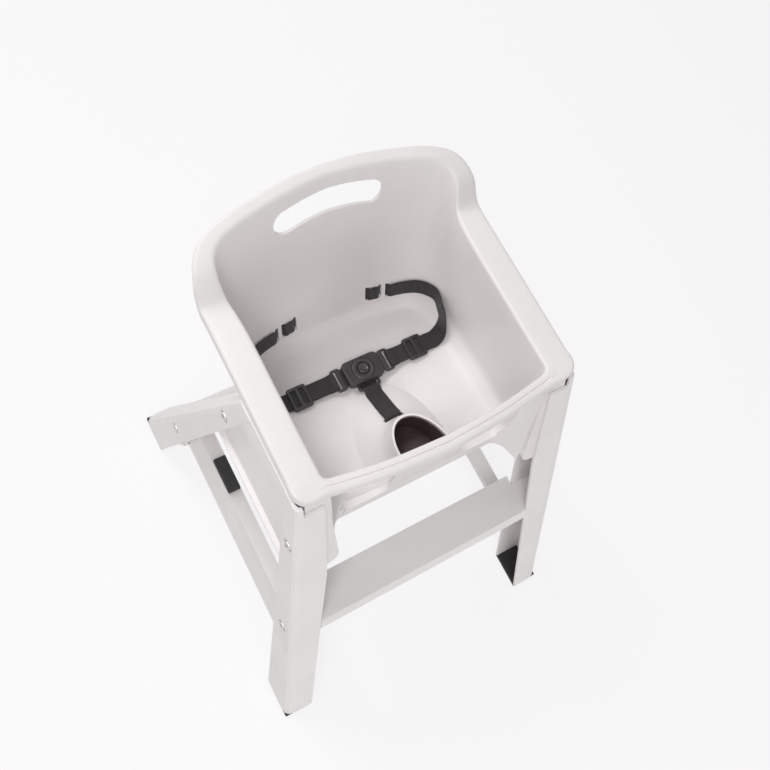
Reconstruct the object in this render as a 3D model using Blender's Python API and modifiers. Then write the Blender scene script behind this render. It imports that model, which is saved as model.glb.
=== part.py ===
"""A stackable high chair: a moulded seat tub with leg openings and a pommel, carried by two A-shaped
side frames of open channel, with a footrest board, a rear crossbar, lower side rails and a
three-point harness.

Lengths are in metres. +Z is up, the front of the chair faces -Y, and the origin is on the floor in
the middle of the footprint. A "drop" is a distance below the top of the arm rims.
"""

import math

import bmesh
import bpy
from mathutils import Matrix, Vector

COLLECTION = "high_chair"

# Overall places
RIM_HEIGHT = 0.670  # top of the arm rims above the floor
CUT_OVERRUN = 0.006  # how far a cutter runs past what it cuts
SEAT_GAP = 0.0003  # between pieces that rest on each other

# Seat tub
ARM_INNER_HALF = 0.152
ARM_RIM_WIDTH = 0.0386
ARM_OUTER_HALF = ARM_INNER_HALF + ARM_RIM_WIDTH
TUB_LENGTH = 0.306  # front corner of the arms to the inner edge at the top of the back
BACK_RISE = 0.066  # inner edge at the top of the back above the arm rims
SEAT_DEPTH = 0.170  # front of the pan below the arm rims
TUB_WALL = 0.004
LIP_DROP = 0.016
RIM_ROUND = 0.004
PAN_DISH_SHARE = 0.985
PAN_TILT_SHARE = 0.2
STEPS_BETWEEN_KEYS = 2
MERGE_DISTANCE = 0.0001
WALL_ROW_SHARES = (0.33, 0.67)  # rows down the wall between the rim and the foot
BEND_ROW_SHARE = 0.3  # rows from the foot of the wall to the border of the pan
BORDER_ROW_SHARE = 0.75
PAN_ROW_SHARES = (0.12, 0.5)  # rows from the border to the middle of the pan

# Inner edge of the rim from the middle of the front rail round to the middle of the back, as shares
# of the inner half width, the tub length and the rise of the back
INNER_EDGE_SHARES = (
    (0.0, -0.056, -0.03), (0.5, -0.042, -0.03), (0.92, -0.012, -0.03), (0.98, -0.003, -0.015),
    (1.0, 0.013, 0.0), (1.0, 0.03, 0.0), (1.0, 0.06, 0.0), (1.0, 0.33, 0.0), (1.0, 0.61, 0.0),
    (1.013, 0.71, 0.0), (1.033, 0.762, 0.08), (1.053, 0.824, 0.47), (1.013, 0.889, 0.70),
    (0.88, 0.931, 0.83), (0.56, 0.97, 0.91), (0.26, 0.99, 0.97), (0.0, 1.0, 1.0),
)
# Outer edge of the rim, in shares of the outer half width and of the same lengths
OUTER_EDGE_SHARES = (
    (0.0, -0.115, -0.09), (0.4, -0.10, -0.09), (0.735, -0.072, -0.09), (0.805, -0.066, -0.06),
    (0.945, -0.06, -0.05), (1.0, -0.02, 0.0), (1.0, 0.046, 0.0), (1.0, 0.33, 0.0), (1.0, 0.61, 0.0),
    (1.0, 0.71, 0.0), (1.002, 0.771, 0.05), (0.986, 0.84, 0.485), (0.908, 0.925, 0.77),
    (0.745, 0.98, 0.91), (0.462, 1.02, 1.0), (0.22, 1.039, 1.06), (0.0, 1.046, 1.076),
)
# Foot of the wall and border of the pan, in shares of the inner half width, the tub length and the
# seat depth
WALL_FOOT_SHARES = (
    (0.0, -0.072, -0.88), (0.487, -0.065, -0.88), (0.868, -0.046, -0.88), (0.928, -0.026, -0.88),
    (0.96, 0.0, -0.88), (0.974, 0.026, -0.88), (0.974, 0.06, -0.88), (0.974, 0.33, -0.906),
    (0.967, 0.54, -0.93), (0.934, 0.608, -0.953), (0.88, 0.654, -0.976), (0.816, 0.686, -1.0),
    (0.737, 0.706, -1.024), (0.63, 0.722, -1.04), (0.42, 0.742, -1.06), (0.21, 0.752, -1.07),
    (0.0, 0.755, -1.07),
)
PAN_BORDER_SHARES = (
    (0.0, -0.033, -0.976), (0.46, -0.03, -0.976), (0.737, -0.02, -0.976), (0.79, -0.007, -0.976),
    (0.83, 0.013, -0.976), (0.85, 0.04, -0.976), (0.855, 0.066, -0.976), (0.855, 0.33, -1.0),
    (0.862, 0.507, -1.035), (0.842, 0.562, -1.053), (0.803, 0.60, -1.065), (0.743, 0.634, -1.08),
    (0.67, 0.657, -1.094), (0.58, 0.673, -1.106), (0.395, 0.693, -1.118), (0.197, 0.706, -1.124),
    (0.0, 0.71, -1.124),
)
PAN_MIDDLE_SHARES = (
    0.01, 0.03, 0.05, 0.07, 0.09, 0.12, 0.16, 0.31, 0.45, 0.50, 0.53, 0.56, 0.585, 0.61, 0.635,
    0.655, 0.67,
)

# Openings of the tub: places out from the middle, behind the arms' front corner and below the rims
LEG_OPENING_INSET = 0.026  # outer edge inside the arms' inner face
LEG_OPENING_WIDTH = 0.074
LEG_OPENING_OUTER = ARM_INNER_HALF - LEG_OPENING_INSET
LEG_OPENING_INNER = LEG_OPENING_OUTER - LEG_OPENING_WIDTH
LEG_OPENING_TOP_DROP = 0.028
LEG_OPENING_SILL = 0.023  # foot of the opening above the seat
LEG_OPENING_FOOT_DROP = SEAT_DEPTH - LEG_OPENING_SILL
LEG_OPENING_ROUND = 0.022
HAND_SLOT_INSET = 0.078  # ends of the slot inside the arms' inner face
HAND_SLOT_HALF_LENGTH = ARM_INNER_HALF - HAND_SLOT_INSET
HAND_SLOT_HEIGHT = 0.036
HAND_SLOT_BELOW_BACK = 0.038  # middle of the slot below the top of the back
HAND_SLOT_RISE = BACK_RISE - HAND_SLOT_BELOW_BACK
HAND_SLOT_SAG = 0.006  # how much lower the ends of the slot lie
BACK_RAKE = 0.305  # backward run of the back for each unit of height
HAND_SLOT_STEPS = 4
SLOT_REACH = 0.016  # how far a slot's cutter runs each way from the middle of its wall
STRAP_SLOT_NEAR_SHARE = 0.375
STRAP_SLOT_NEAR = STRAP_SLOT_NEAR_SHARE * ARM_INNER_HALF
STRAP_SLOT_GAP = 0.024  # between the middles of the near and the far slot
STRAP_SLOT_FAR = STRAP_SLOT_NEAR + STRAP_SLOT_GAP
STRAP_SLOT_WIDTH = 0.006
STRAP_SLOT_HEIGHT = 0.034
STRAP_SLOT_ABOVE_SEAT = 0.010
STRAP_SLOT_DROP = SEAT_DEPTH - STRAP_SLOT_ABOVE_SEAT
CROTCH_SLOT_BACK_SHARE = 55 / 306
CROTCH_SLOT_BACK = CROTCH_SLOT_BACK_SHARE * TUB_LENGTH
CROTCH_SLOT_WIDTH = 0.029
CROTCH_SLOT_LENGTH = 0.005
CROTCH_SLOT_ABOVE_SEAT = 0.020
CROTCH_SLOT_DROP = SEAT_DEPTH - CROTCH_SLOT_ABOVE_SEAT

# Sections across the pommel: how far behind the arms' front corner as a share of the tub length,
# crest drop as a share of the seat depth, half widths at crest and foot as shares of the inner half
# width, and foot drop as a share of the seat depth
POMMEL_SECTION_SHARES = (
    ("nose", 0.3856, 1.038, 0.0263, 0.0921, 1.0765),
    ("rise", 0.3007, 0.988, 0.0658, 0.2632, 1.0618),
    ("saddle", 0.2288, 0.9294, 0.0855, 0.3421, 1.0529),
    ("slot", 0.1699, 0.8588, 0.0987, 0.3947, 1.0412),
    ("brow", 0.1340, 0.6471, 0.0921, 0.4013, 1.0324),
    ("neck", 0.0065, 0.5529, 0.2303, 0.3618, 1.0059),
    ("post", -0.0670, 0.5059, 0.2632, 0.3289, 0.8824),
)
POMMEL_WALL = 0.004
POMMEL_FLANK_SHARE = 0.35
HOLLOW_FLOOR_ABOVE_SEAT = 0.012
HOLLOW_FLOOR_DROP = SEAT_DEPTH - HOLLOW_FLOOR_ABOVE_SEAT

# Front skirt and the corner walls that flare out into the legs
SKIRT_INSET = 0.036  # ends of the skirt inside the arms' inner face
SKIRT_HALF = ARM_INNER_HALF - SKIRT_INSET
SKIRT_FRONT_SHARE = 1 / 12
SKIRT_FRONT = SKIRT_FRONT_SHARE * TUB_LENGTH  # before the arms' front corner
SKIRT_ABOVE_SEAT = 0.030
SKIRT_BELOW_SEAT = 0.022
SKIRT_TOP_DROP = SEAT_DEPTH - SKIRT_ABOVE_SEAT
SKIRT_FOOT_DROP = SEAT_DEPTH + SKIRT_BELOW_SEAT
CORNER_WALL_TOP_DROP = 0.008
CORNER_TOP_SHARES = ((0.72, -0.060), (0.79, -0.058), (0.86, -0.055), (0.93, -0.052), (0.985, -0.050))
CORNER_FOOT_SHARES = ((0.72, -0.088), (0.80, -0.092), (0.875, -0.122), (0.915, -0.170), (0.935, -0.215))

# Side frames
LEG_SPLAY = 0.115  # outward run of a leg for each unit of drop
FRONT_RAKE = 0.345
REAR_RAKE = 0.300
FRONT_LEG_START = -0.0141  # front face of the front leg at rim height, from the arms' front corner
REAR_LEG_START = 0.090  # front face of the rear leg at rim height
LEG_TOP_DROP = 0.020
LEG_FULL_DROP = 0.200  # where a leg reaches its full width
LEG_WIDTH_TOP = 0.036
LEG_WIDTH = 0.050
LEG_DEPTH_TOP = 0.028
LEG_DEPTH_FOOT = 0.070
LEG_WALL = 0.004
LEG_ROUND_SHARE = 0.3  # round of a leg's soft corner, as a share of the leg's depth
LEG_CORNER_SHARES = ((1.0, 0.0), (0.35, 0.12), (0.08, 0.4), (0.0, 1.0))
LEG_INSIDE_CORNER_SHARES = ((0.0, 1.0), (0.3, 0.3), (1.0, 0.0))
LEG_INSIDE_ROUND_SHARE = 0.6  # wall taken off the round inside the corner
LEG_NOTCH_FOOT_DROP = 0.037
LEG_NOTCH_EDGE = 0.009  # kept between the notch and the outer face
BAND_TOP_DROP = 0.0205
BAND_FOOT_DROP = 0.060
BAND_INSET = 0.0006
PANEL_RECESS = 0.010
PANEL_FOOT_DROP = 0.190
PANEL_WALL = 0.0035
PANEL_FLANGE = 0.007
PANEL_LAP = 0.0025  # how far the panel runs into a leg's flange

# Lobes of the tub inside the legs
LOBE_TOP_DROP = 0.002
LOBE_BELOW_SEAT = 0.014
REAR_LOBE_ABOVE_SEAT = 0.020
LOBE_FOOT_DROP = SEAT_DEPTH + LOBE_BELOW_SEAT
LOBE_CLEARANCE = 0.0004
LOBE_ROOT_INSET = 0.002  # inside the arms' inner face
LOBE_TIP_INSET = 0.0105
LOBE_ROOT = ARM_INNER_HALF - LOBE_ROOT_INSET
LOBE_TIP = ARM_INNER_HALF - LOBE_TIP_INSET
REAR_LOBE_FOOT_DROP = SEAT_DEPTH - REAR_LOBE_ABOVE_SEAT
LOBE_SHOULDER_SHARE = 0.25  # how far above its foot a lobe starts to narrow
LOBE_ROOT_CUT_SHARE = 0.35  # width taken off a lobe's foot at its root and at its tip
LOBE_TIP_CUT_SHARE = 0.2

# Foot pads
PAD_HEIGHT = 0.008
PAD_INSET = 0.001
PAD_ROUND = 0.0016

# Front inner corner of the arms along Y, which puts the middle of the footprint at the origin
LEG_FOOT_DROP = RIM_HEIGHT - PAD_HEIGHT - SEAT_GAP
LEG_DEPTH_RATE = (LEG_DEPTH_FOOT - LEG_DEPTH_TOP) / (RIM_HEIGHT - LEG_TOP_DROP)
FOOT_DEPTH = LEG_DEPTH_TOP + LEG_DEPTH_RATE * (LEG_FOOT_DROP - LEG_TOP_DROP)
FOOT_SPREAD = FRONT_LEG_START + REAR_LEG_START + (REAR_RAKE - FRONT_RAKE) * LEG_FOOT_DROP + FOOT_DEPTH
TUB_FRONT = -FOOT_SPREAD / 2

# Crossbars between the legs
FOOTREST_DROP = 0.335
FOOTREST_HEIGHT = 0.025
FOOTREST_NOSE = 0.001  # how far its front stands before the legs
FOOTREST_TAIL = 0.011  # how far it runs behind the legs
CROSSBAR_DROP = 0.420
CROSSBAR_HEIGHT = 0.030
CROSSBAR_WALL = 0.004
CROSSBAR_SOLID_END = 0.018

# Lower side rails
RAIL_DROP = 0.450
RAIL_HEIGHT = 0.080
RAIL_INSET = 0.0036  # inner edge of a rail inside the rims' outer edge
RAIL_INNER = ARM_OUTER_HALF - RAIL_INSET
RAIL_TOP_WIDTH = 0.023
RAIL_LEAN = 0.2
RAIL_WALL = 0.0035
RAIL_LIP = 0.016
RAIL_PLATE_WIDTH = 0.030
RAIL_PLATE_WALL = 0.004
RAIL_PLATE_ROUND = 0.010
RAIL_PLATE_FOOT_SHARES = (0.5, 0.25)  # width of a plate at the start and the end of its foot's round
RAIL_BOLT_DROP = 0.492
RAIL_BOLT_OUT = 0.0125  # bolt beyond the web of the rail

# Stacking pads on the rails
STACK_PAD_BACK = 0.115
STACK_PAD_LENGTH = 0.060
STACK_PAD_HEIGHT = 0.012
STACK_PAD_INSET = 0.001
STACK_PAD_ROUND = 0.0015

# Bolts
BOLT_HEAD_RADIUS = 0.0065
BOLT_HEAD_HEIGHT = 0.0028
BOLT_RADIUS = 0.003
BOLT_LENGTH = 0.018
RAIL_BOLT_LENGTH = 0.012
BOLT_CLEARANCE = 0.0003
BOLT_SIDES = 12
BOLT_HEAD_SIDES = 16
BOLT_DOME_SHARE = 0.7  # flat top of a head, as a share of its radius
POCKET_RADIUS = 0.0095
POCKET_SIDES = 20
POCKET_DEPTH = 0.0015
UPPER_BOLT_ABOVE_SEAT = 0.055
UPPER_BOLT_DROP = SEAT_DEPTH - UPPER_BOLT_ABOVE_SEAT
FOOTREST_BOLT_LOWER = 0.0125  # below the top of the footrest

# Harness
# Where a waist strap leaves the far slot along the wall: key of the rim's tables, share of the seat
# depth
WAIST_WALL_SHARES = ((13, 0.93), (12, 0.912), (11, 0.888), (10, 0.865), (9, 0.85))
# Its free bow from the wall to the level run, in shares of the inner half width, the tub length and
# the seat depth, and how far it lies flat
WAIST_FREE_SHARES = (
    (0.912, 0.560, 0.862, 0.0), (0.900, 0.520, 0.885, 0.2), (0.868, 0.488, 0.925, 0.5),
    (0.822, 0.463, 0.968, 0.85),
)
# Middle line of the crotch strap from the buckle over the pommel and down its slot, in shares of
# the tub length and the seat depth
CROTCH_ROUTE_SHARES = (
    (0.3912, 1.008), (0.366, 1.0), (0.327, 0.976), (0.281, 0.944), (0.235, 0.906), (0.201, 0.868),
    (0.188, 0.859), (0.184, 0.882), (0.184, 0.929),
)
WEB_WIDTH = 0.025
WEB_THICK = 0.0016
STRAP_CLEARANCE = 0.0006  # between a strap and the edge that it turns round
STRAP_STAND_OFF = 0.0024  # middle of a strap off the wall that it lies along
BUCKLE_BACK_SHARE = 69 / 153
BUCKLE_BACK = BUCKLE_BACK_SHARE * TUB_LENGTH  # middle of the buckle behind the arms' front corner
BUCKLE_ABOVE_SEAT = 0.002
BUCKLE_DROP = SEAT_DEPTH - BUCKLE_ABOVE_SEAT  # top of the buckle's base
BUCKLE_LENGTH = 0.056
BUCKLE_WIDTH = 0.036
BASE_HEIGHT = 0.007
COVER_HEIGHT = 0.006
BUCKLE_ROUND = 0.002
BASE_ROUND = 0.001
TURNED_SIDES = 24
BUTTON_RADIUS = 0.009
BUTTON_TRAVEL = 0.003
BUTTON_PROUD = 0.0036
BUTTON_CLEARANCE = 0.0004
BUTTON_WALL = 0.002
BUTTON_DOME_SHARES = ((0.0, 0.0), (0.45, 0.12), (0.8, 0.45), (1.0, 1.0))
SPRING_RADIUS = 0.0045
SPRING_WIRE = 0.0005
SPRING_TURNS = 4
SPRING_STEPS = 10  # points to a turn
WELL_RADIUS = 0.0105
WELL_DEPTH = 0.0045
TONGUE_LENGTH = 0.030
TONGUE_REACH = 0.013  # how far a tongue enters the buckle
TONGUE_WIDTH = 0.026
TONGUE_HEIGHT = 0.0030
TONGUE_CLEARANCE = 0.0004
TONGUE_ROUND = 0.0005
TONGUE_SLOT = 0.005
SLIDER_LENGTH = 0.028
SLIDER_WIDTH = 0.033
SLIDER_HEIGHT = 0.0056
SLIDER_ROUND = 0.0011
SLIDER_BAR = 0.004
SLIDER_CLEARANCE = 0.0006
LEVEL_RUN_INSET = 0.036
LEVEL_RUN_OUT = ARM_INNER_HALF - LEVEL_RUN_INSET  # where a waist strap starts to run level
RIGHT_SLIDER_ALONG = 0.032  # middle of a slider from the start of the level run
LEFT_SLIDER_ALONG = 0.020
RIGHT_SLIDER_OUT = LEVEL_RUN_OUT - RIGHT_SLIDER_ALONG
LEFT_SLIDER_OUT = LEVEL_RUN_OUT - LEFT_SLIDER_ALONG

PLASTIC = (0.86, 0.84, 0.84)
TUB_PLASTIC = (0.80, 0.77, 0.77)
RUBBER = (0.02, 0.019, 0.02)
WEBBING = (0.025, 0.020, 0.020)
BUCKLE_PLASTIC = (0.05, 0.045, 0.05)
STEEL = (0.55, 0.53, 0.52)


def clear_scene():
    for obj in list(bpy.data.objects):
        bpy.data.objects.remove(obj, do_unlink=True)


def make_collection(name):
    collection = bpy.data.collections.new(name)
    bpy.context.scene.collection.children.link(collection)
    return collection


def make_material(name, colour, roughness, metallic=0.0):
    material = bpy.data.materials.new(name)
    material.use_nodes = True
    shader = material.node_tree.nodes["Principled BSDF"]
    shader.inputs["Base Color"].default_value = (*colour, 1.0)
    shader.inputs["Roughness"].default_value = roughness
    shader.inputs["Metallic"].default_value = metallic
    material.diffuse_color = (*colour, 1.0)
    return material


def drop_z(drop):
    return RIM_HEIGHT - drop


def back_y(back):
    """The Y of a place given as its distance behind the front corner of the arms."""
    return TUB_FRONT + back


def object_from(name, mesh, collection, material=None):
    obj = bpy.data.objects.new(name, mesh)
    collection.objects.link(obj)
    if material:
        mesh.materials.append(material)
    return obj


def mesh_from(name, points, faces):
    mesh = bpy.data.meshes.new(name)
    shape = bmesh.new()
    corners = [shape.verts.new(point) for point in points]
    for face in faces:
        shape.faces.new([corners[index] for index in face])
    bmesh.ops.recalc_face_normals(shape, faces=shape.faces)
    shape.to_mesh(mesh)
    shape.free()
    return mesh


def loft(name, sections):
    """A closed solid through sections that have the same number of points."""
    count = len(sections[0])
    points = [point for section in sections for point in section]
    faces = [tuple(range(count))]
    for level in range(len(sections) - 1):
        start = level * count
        for index in range(count):
            after = (index + 1) % count
            faces.append((start + index, start + after, start + count + after, start + count + index))
    last = (len(sections) - 1) * count
    faces.append(tuple(range(last, last + count)))
    return mesh_from(name, points, faces)


def strip_surface(name, rows):
    """An open surface through rows of points."""
    count = len(rows[0])
    points = [point for row in rows for point in row]
    faces = []
    for level in range(len(rows) - 1):
        for index in range(count - 1):
            start = level * count + index
            faces.append((start, start + 1, start + count + 1, start + count))
    return mesh_from(name, points, faces)


def box_mesh(name, size, middle):
    shape = bmesh.new()
    place = Matrix.Translation(middle) @ Matrix.Diagonal((*size, 1.0))
    bmesh.ops.create_cube(shape, size=1.0, matrix=place)
    mesh = bpy.data.meshes.new(name)
    shape.to_mesh(mesh)
    shape.free()
    return mesh


def cylinder_mesh(name, radius, length, sides, place, top_radius=None):
    shape = bmesh.new()
    bmesh.ops.create_cone(
        shape, cap_ends=True, segments=sides, radius1=radius,
        radius2=radius if top_radius is None else top_radius, depth=length, matrix=place,
    )
    mesh = bpy.data.meshes.new(name)
    shape.to_mesh(mesh)
    shape.free()
    return mesh


def boolean(obj, other, operation):
    modifier = obj.modifiers.new(f"{operation.lower()} {other.name}", "BOOLEAN")
    modifier.operation = operation
    modifier.solver = "EXACT"
    modifier.object = other


def helper(mesh):
    obj = object_from(mesh.name, mesh, helpers)
    obj.hide_render = True
    obj.display_type = "WIRE"
    return obj


def cut(obj, mesh):
    boolean(obj, helper(mesh), "DIFFERENCE")


def join(obj, mesh):
    boolean(obj, helper(mesh), "UNION")


def bevel(obj, width, segments=2):
    modifier = obj.modifiers.new("rounded edges", "BEVEL")
    modifier.width = width
    modifier.segments = segments
    modifier.limit_method = "ANGLE"


def shade(obj):
    obj.data.shade_smooth()
    obj.data.set_sharp_from_angle(angle=math.radians(35))


def through_keys(keys, steps):
    """A smooth line through key points, with the same steps between each pair."""
    line = []
    for index in range(len(keys) - 1):
        start, end = keys[index], keys[index + 1]
        before, after = keys[max(index - 1, 0)], keys[min(index + 2, len(keys) - 1)]
        length = (end - start).length
        pull_start = (end - before).normalized() * length
        pull_end = (after - start).normalized() * length
        for step in range(steps):
            t = step / steps
            line.append(
                start * (2 * t**3 - 3 * t**2 + 1) + pull_start * (t**3 - 2 * t**2 + t)
                + end * (3 * t**2 - 2 * t**3) + pull_end * (t**3 - t**2)
            )
    line.append(keys[-1])
    return line


def ring(shares, half_width, height):
    keys = [
        Vector((across * half_width, back_y(along * TUB_LENGTH), RIM_HEIGHT + up * height))
        for across, along, up in shares
    ]
    line = through_keys(keys, STEPS_BETWEEN_KEYS)
    line[0].x = 0.0
    line[-1].x = 0.0
    return line


def pan_drop(back):
    return SEAT_DEPTH * (PAN_DISH_SHARE + PAN_TILT_SHARE * back / TUB_LENGTH)


def pan_middle():
    keys = []
    for share in PAN_MIDDLE_SHARES:
        back = share * TUB_LENGTH
        keys.append(Vector((0.0, back_y(back), drop_z(pan_drop(back)))))
    return through_keys(keys, STEPS_BETWEEN_KEYS)


def between(near, far, share):
    return [start.lerp(end, share) for start, end in zip(near, far)]


def tub_rows():
    """The upper face of half the tub, as rows from the foot of the lip to the middle of the pan."""
    outer = ring(OUTER_EDGE_SHARES, ARM_OUTER_HALF, BACK_RISE)
    inner = ring(INNER_EDGE_SHARES, ARM_INNER_HALF, BACK_RISE)
    foot = ring(WALL_FOOT_SHARES, ARM_INNER_HALF, SEAT_DEPTH)
    border = ring(PAN_BORDER_SHARES, ARM_INNER_HALF, SEAT_DEPTH)
    middle = pan_middle()
    round_drop = Vector((0.0, 0.0, -RIM_ROUND))
    lip_drop = Vector((0.0, 0.0, -LIP_DROP))
    widths = [(start - end).length for start, end in zip(inner, outer)]
    crown = [end.lerp(start, RIM_ROUND / width) for start, end, width in zip(inner, outer, widths)]
    shoulder = [start.lerp(end, RIM_ROUND / width) for start, end, width in zip(inner, outer, widths)]
    walls = [(start - end).length for start, end in zip(foot, inner)]
    below = [end.lerp(start, RIM_ROUND / wall) for start, end, wall in zip(foot, inner, walls)]
    low = [start.lerp(end, RIM_ROUND / wall) for start, end, wall in zip(foot, inner, walls)]
    return [
        [point + lip_drop for point in outer],
        [point + round_drop for point in outer],
        crown,
        shoulder,
        below,
        *[between(inner, foot, share) for share in WALL_ROW_SHARES],
        low,
        between(foot, border, BEND_ROW_SHARE),
        between(foot, border, BORDER_ROW_SHARE),
        *[between(border, middle, share) for share in PAN_ROW_SHARES],
        middle,
    ]


def tub_shell():
    mesh = strip_surface("seat_shell", tub_rows())
    obj = object_from("seat_shell", mesh, nodes, materials["tub"])
    mirror = obj.modifiers.new("both halves", "MIRROR")
    mirror.merge_threshold = MERGE_DISTANCE
    wall = obj.modifiers.new("wall", "SOLIDIFY")
    wall.thickness = TUB_WALL
    wall.offset = 1.0 if mesh.polygons[0].normal.x < 0.0 else -1.0
    wall.use_even_offset = True
    return obj


def pommel_sizes():
    """The pommel's sections by name, in lengths."""
    sizes = {}
    for name, back, crest_drop, crest_half, foot_half, foot_drop in POMMEL_SECTION_SHARES:
        sizes[name] = (
            back * TUB_LENGTH, crest_drop * SEAT_DEPTH, crest_half * ARM_INNER_HALF,
            foot_half * ARM_INNER_HALF, foot_drop * SEAT_DEPTH,
        )
    return sizes


def pommel_section(back, crest_drop, crest, foot, foot_drop):
    """One section across the pommel: feet below the pan, flanks drawn in, a flat crest."""
    flank = crest + (foot - crest) * POMMEL_FLANK_SHARE
    flank_drop = crest_drop + (foot_drop - crest_drop) * POMMEL_FLANK_SHARE
    half = [(foot, foot_drop), (flank, flank_drop), (crest, crest_drop)]
    outline = half + [(-across, drop) for across, drop in reversed(half)]
    return [Vector((across, back_y(back), drop_z(drop))) for across, drop in outline]


def pommel():
    return loft("pommel", [pommel_section(*sizes) for sizes in pommel_sizes().values()])


def pommel_hollow():
    """The pocket behind the front rail, open at the crest."""
    sizes = pommel_sizes()
    sections = []
    for name, shift in (("brow", -POMMEL_WALL), ("neck", 0.0), ("post", POMMEL_WALL)):
        back, crest_drop, crest_half, foot_half, _ = sizes[name]
        half = crest_half - POMMEL_WALL / 2
        low = foot_half - 2 * POMMEL_WALL
        floor_drop = SKIRT_TOP_DROP if name == "post" else HOLLOW_FLOOR_DROP
        outline = (
            (low, floor_drop), (half, crest_drop - CUT_OVERRUN),
            (-half, crest_drop - CUT_OVERRUN), (-low, floor_drop),
        )
        sections.append([Vector((across, back_y(back + shift), drop_z(drop))) for across, drop in outline])
    return loft("pommel_hollow", sections)


def skirt():
    height = SKIRT_FOOT_DROP - SKIRT_TOP_DROP
    size = (2 * SKIRT_HALF, TUB_WALL, height)
    middle = (0.0, back_y(-SKIRT_FRONT), drop_z(SKIRT_TOP_DROP + height / 2))
    return box_mesh("skirt", size, middle)


def corner_wall(side):
    """The wall that flares from the skirt into the leg, in front of the lobe."""
    name = f"corner_wall_{side_name(side)}"
    outer = []
    for shares, drop in ((CORNER_TOP_SHARES, CORNER_WALL_TOP_DROP), (CORNER_FOOT_SHARES, SKIRT_FOOT_DROP)):
        outer.append([
            Vector((side * across * ARM_INNER_HALF, back_y(along * TUB_LENGTH), drop_z(drop)))
            for across, along in shares
        ])
    sections = []
    for top, foot in zip(*outer):
        inward = Vector((0.0, TUB_WALL, 0.0))
        if len(sections) >= 3:
            inward = Vector((side * TUB_WALL, TUB_WALL / 2, 0.0))
        sections.append([top, foot, foot + inward, top + inward])
    return loft(name, sections)


def rounded_box(name, low, high, radius):
    """A box along Y whose four long edges are round, given by its low and high corners."""
    outline = []
    for across, up, start in ((1, 1, 0), (-1, 1, 90), (-1, -1, 180), (1, -1, 270)):
        centre_x = high[0] - radius if across > 0 else low[0] + radius
        centre_z = high[2] - radius if up > 0 else low[2] + radius
        for turn in (0, 30, 60, 90):
            angle = math.radians(start + turn)
            outline.append((centre_x + radius * math.cos(angle), centre_z + radius * math.sin(angle)))
    return loft(name, [[Vector((x, y, z)) for x, z in outline] for y in (low[1], high[1])])


def leg_opening(side):
    low_x, high_x = sorted((side * LEG_OPENING_INNER, side * LEG_OPENING_OUTER))
    low = (low_x, back_y(-SKIRT_FRONT) - TUB_WALL - CUT_OVERRUN, drop_z(LEG_OPENING_FOOT_DROP))
    high = (high_x, back_y(0.0), drop_z(LEG_OPENING_TOP_DROP))
    return rounded_box(f"leg_opening_{side_name(side)}", low, high, LEG_OPENING_ROUND)


def wall_line(drop):
    """The tub's inner face at a drop, as points from the front rail to the middle of the back."""
    inner = ring(INNER_EDGE_SHARES, ARM_INNER_HALF, BACK_RISE)
    foot = ring(WALL_FOOT_SHARES, ARM_INNER_HALF, SEAT_DEPTH)
    z = drop_z(drop)
    return [start.lerp(end, (start.z - z) / (start.z - end.z)) for start, end in zip(inner, foot)]


def wall_position(out, drop):
    """Where the back wall passes a distance out from the middle, counted in points of the wall line."""
    line = wall_line(drop)
    for index in reversed(range(len(line) - 1)):
        near, far = line[index], line[index + 1]
        if near.x >= out:
            return index + (near.x - out) / (near.x - far.x)
    raise ValueError("the strap slots lie beyond the back wall")


def wall_place(position, drop):
    """A place on the inner face of the wall, with the directions up the wall and out of the tub."""
    line = wall_line(drop)
    above = wall_line(drop - WEB_WIDTH)
    index = min(int(position), len(line) - 2)
    share = position - index
    place = line[index].lerp(line[index + 1], share)
    up = (above[index].lerp(above[index + 1], share) - place).normalized()
    outward = (line[index + 1] - line[index]).cross(up).normalized()
    return place, up, outward


def back_face_y(drop):
    """The Y of the back's front face in the middle, at a drop."""
    return back_y(TUB_LENGTH - BACK_RAKE * (BACK_RISE + drop))


def hand_slot():
    """A bent stadium through the top of the back."""
    radius = HAND_SLOT_HEIGHT / 2
    reach = HAND_SLOT_HALF_LENGTH - radius
    middle_y = back_face_y(-HAND_SLOT_RISE)
    upper = []
    lower = []
    for step in range(-HAND_SLOT_STEPS, HAND_SLOT_STEPS + 1):
        share = step / HAND_SLOT_STEPS
        x = share * reach
        z = RIM_HEIGHT + HAND_SLOT_RISE - HAND_SLOT_SAG * share**2
        upper.append((x, z + radius))
        lower.append((x, z - radius))
    ends = []
    for side in (1, -1):
        z = RIM_HEIGHT + HAND_SLOT_RISE - HAND_SLOT_SAG
        end = []
        for turn in (60, 30, 0, -30, -60):
            angle = math.radians(turn)
            end.append((side * (reach + radius * math.cos(angle)), z + side * radius * math.sin(angle)))
        ends.append(end)
    outline = upper + ends[0] + lower[::-1] + ends[1]
    reach_y = SLOT_REACH + CUT_OVERRUN
    return loft("hand_slot", [
        [Vector((x, middle_y + run, z)) for x, z in outline] for run in (-reach_y, reach_y)
    ])


def strap_slot(side, out, label):
    size = (STRAP_SLOT_WIDTH, SLOT_REACH + CUT_OVERRUN, STRAP_SLOT_HEIGHT)
    place, _, _ = wall_place(wall_position(out, STRAP_SLOT_DROP), STRAP_SLOT_DROP)
    middle = (side * out, place.y + TUB_WALL / 2, drop_z(STRAP_SLOT_DROP))
    return box_mesh(f"strap_slot_{label}_{side_name(side)}", size, middle)


def crotch_slot():
    depth = HOLLOW_FLOOR_DROP - CROTCH_SLOT_DROP + LEG_OPENING_TOP_DROP
    size = (CROTCH_SLOT_WIDTH, CROTCH_SLOT_LENGTH, 2 * depth)
    middle = (0.0, back_y(CROTCH_SLOT_BACK), drop_z(CROTCH_SLOT_DROP))
    return box_mesh("crotch_slot", size, middle)


def side_name(side):
    return "right" if side > 0 else "left"


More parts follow.
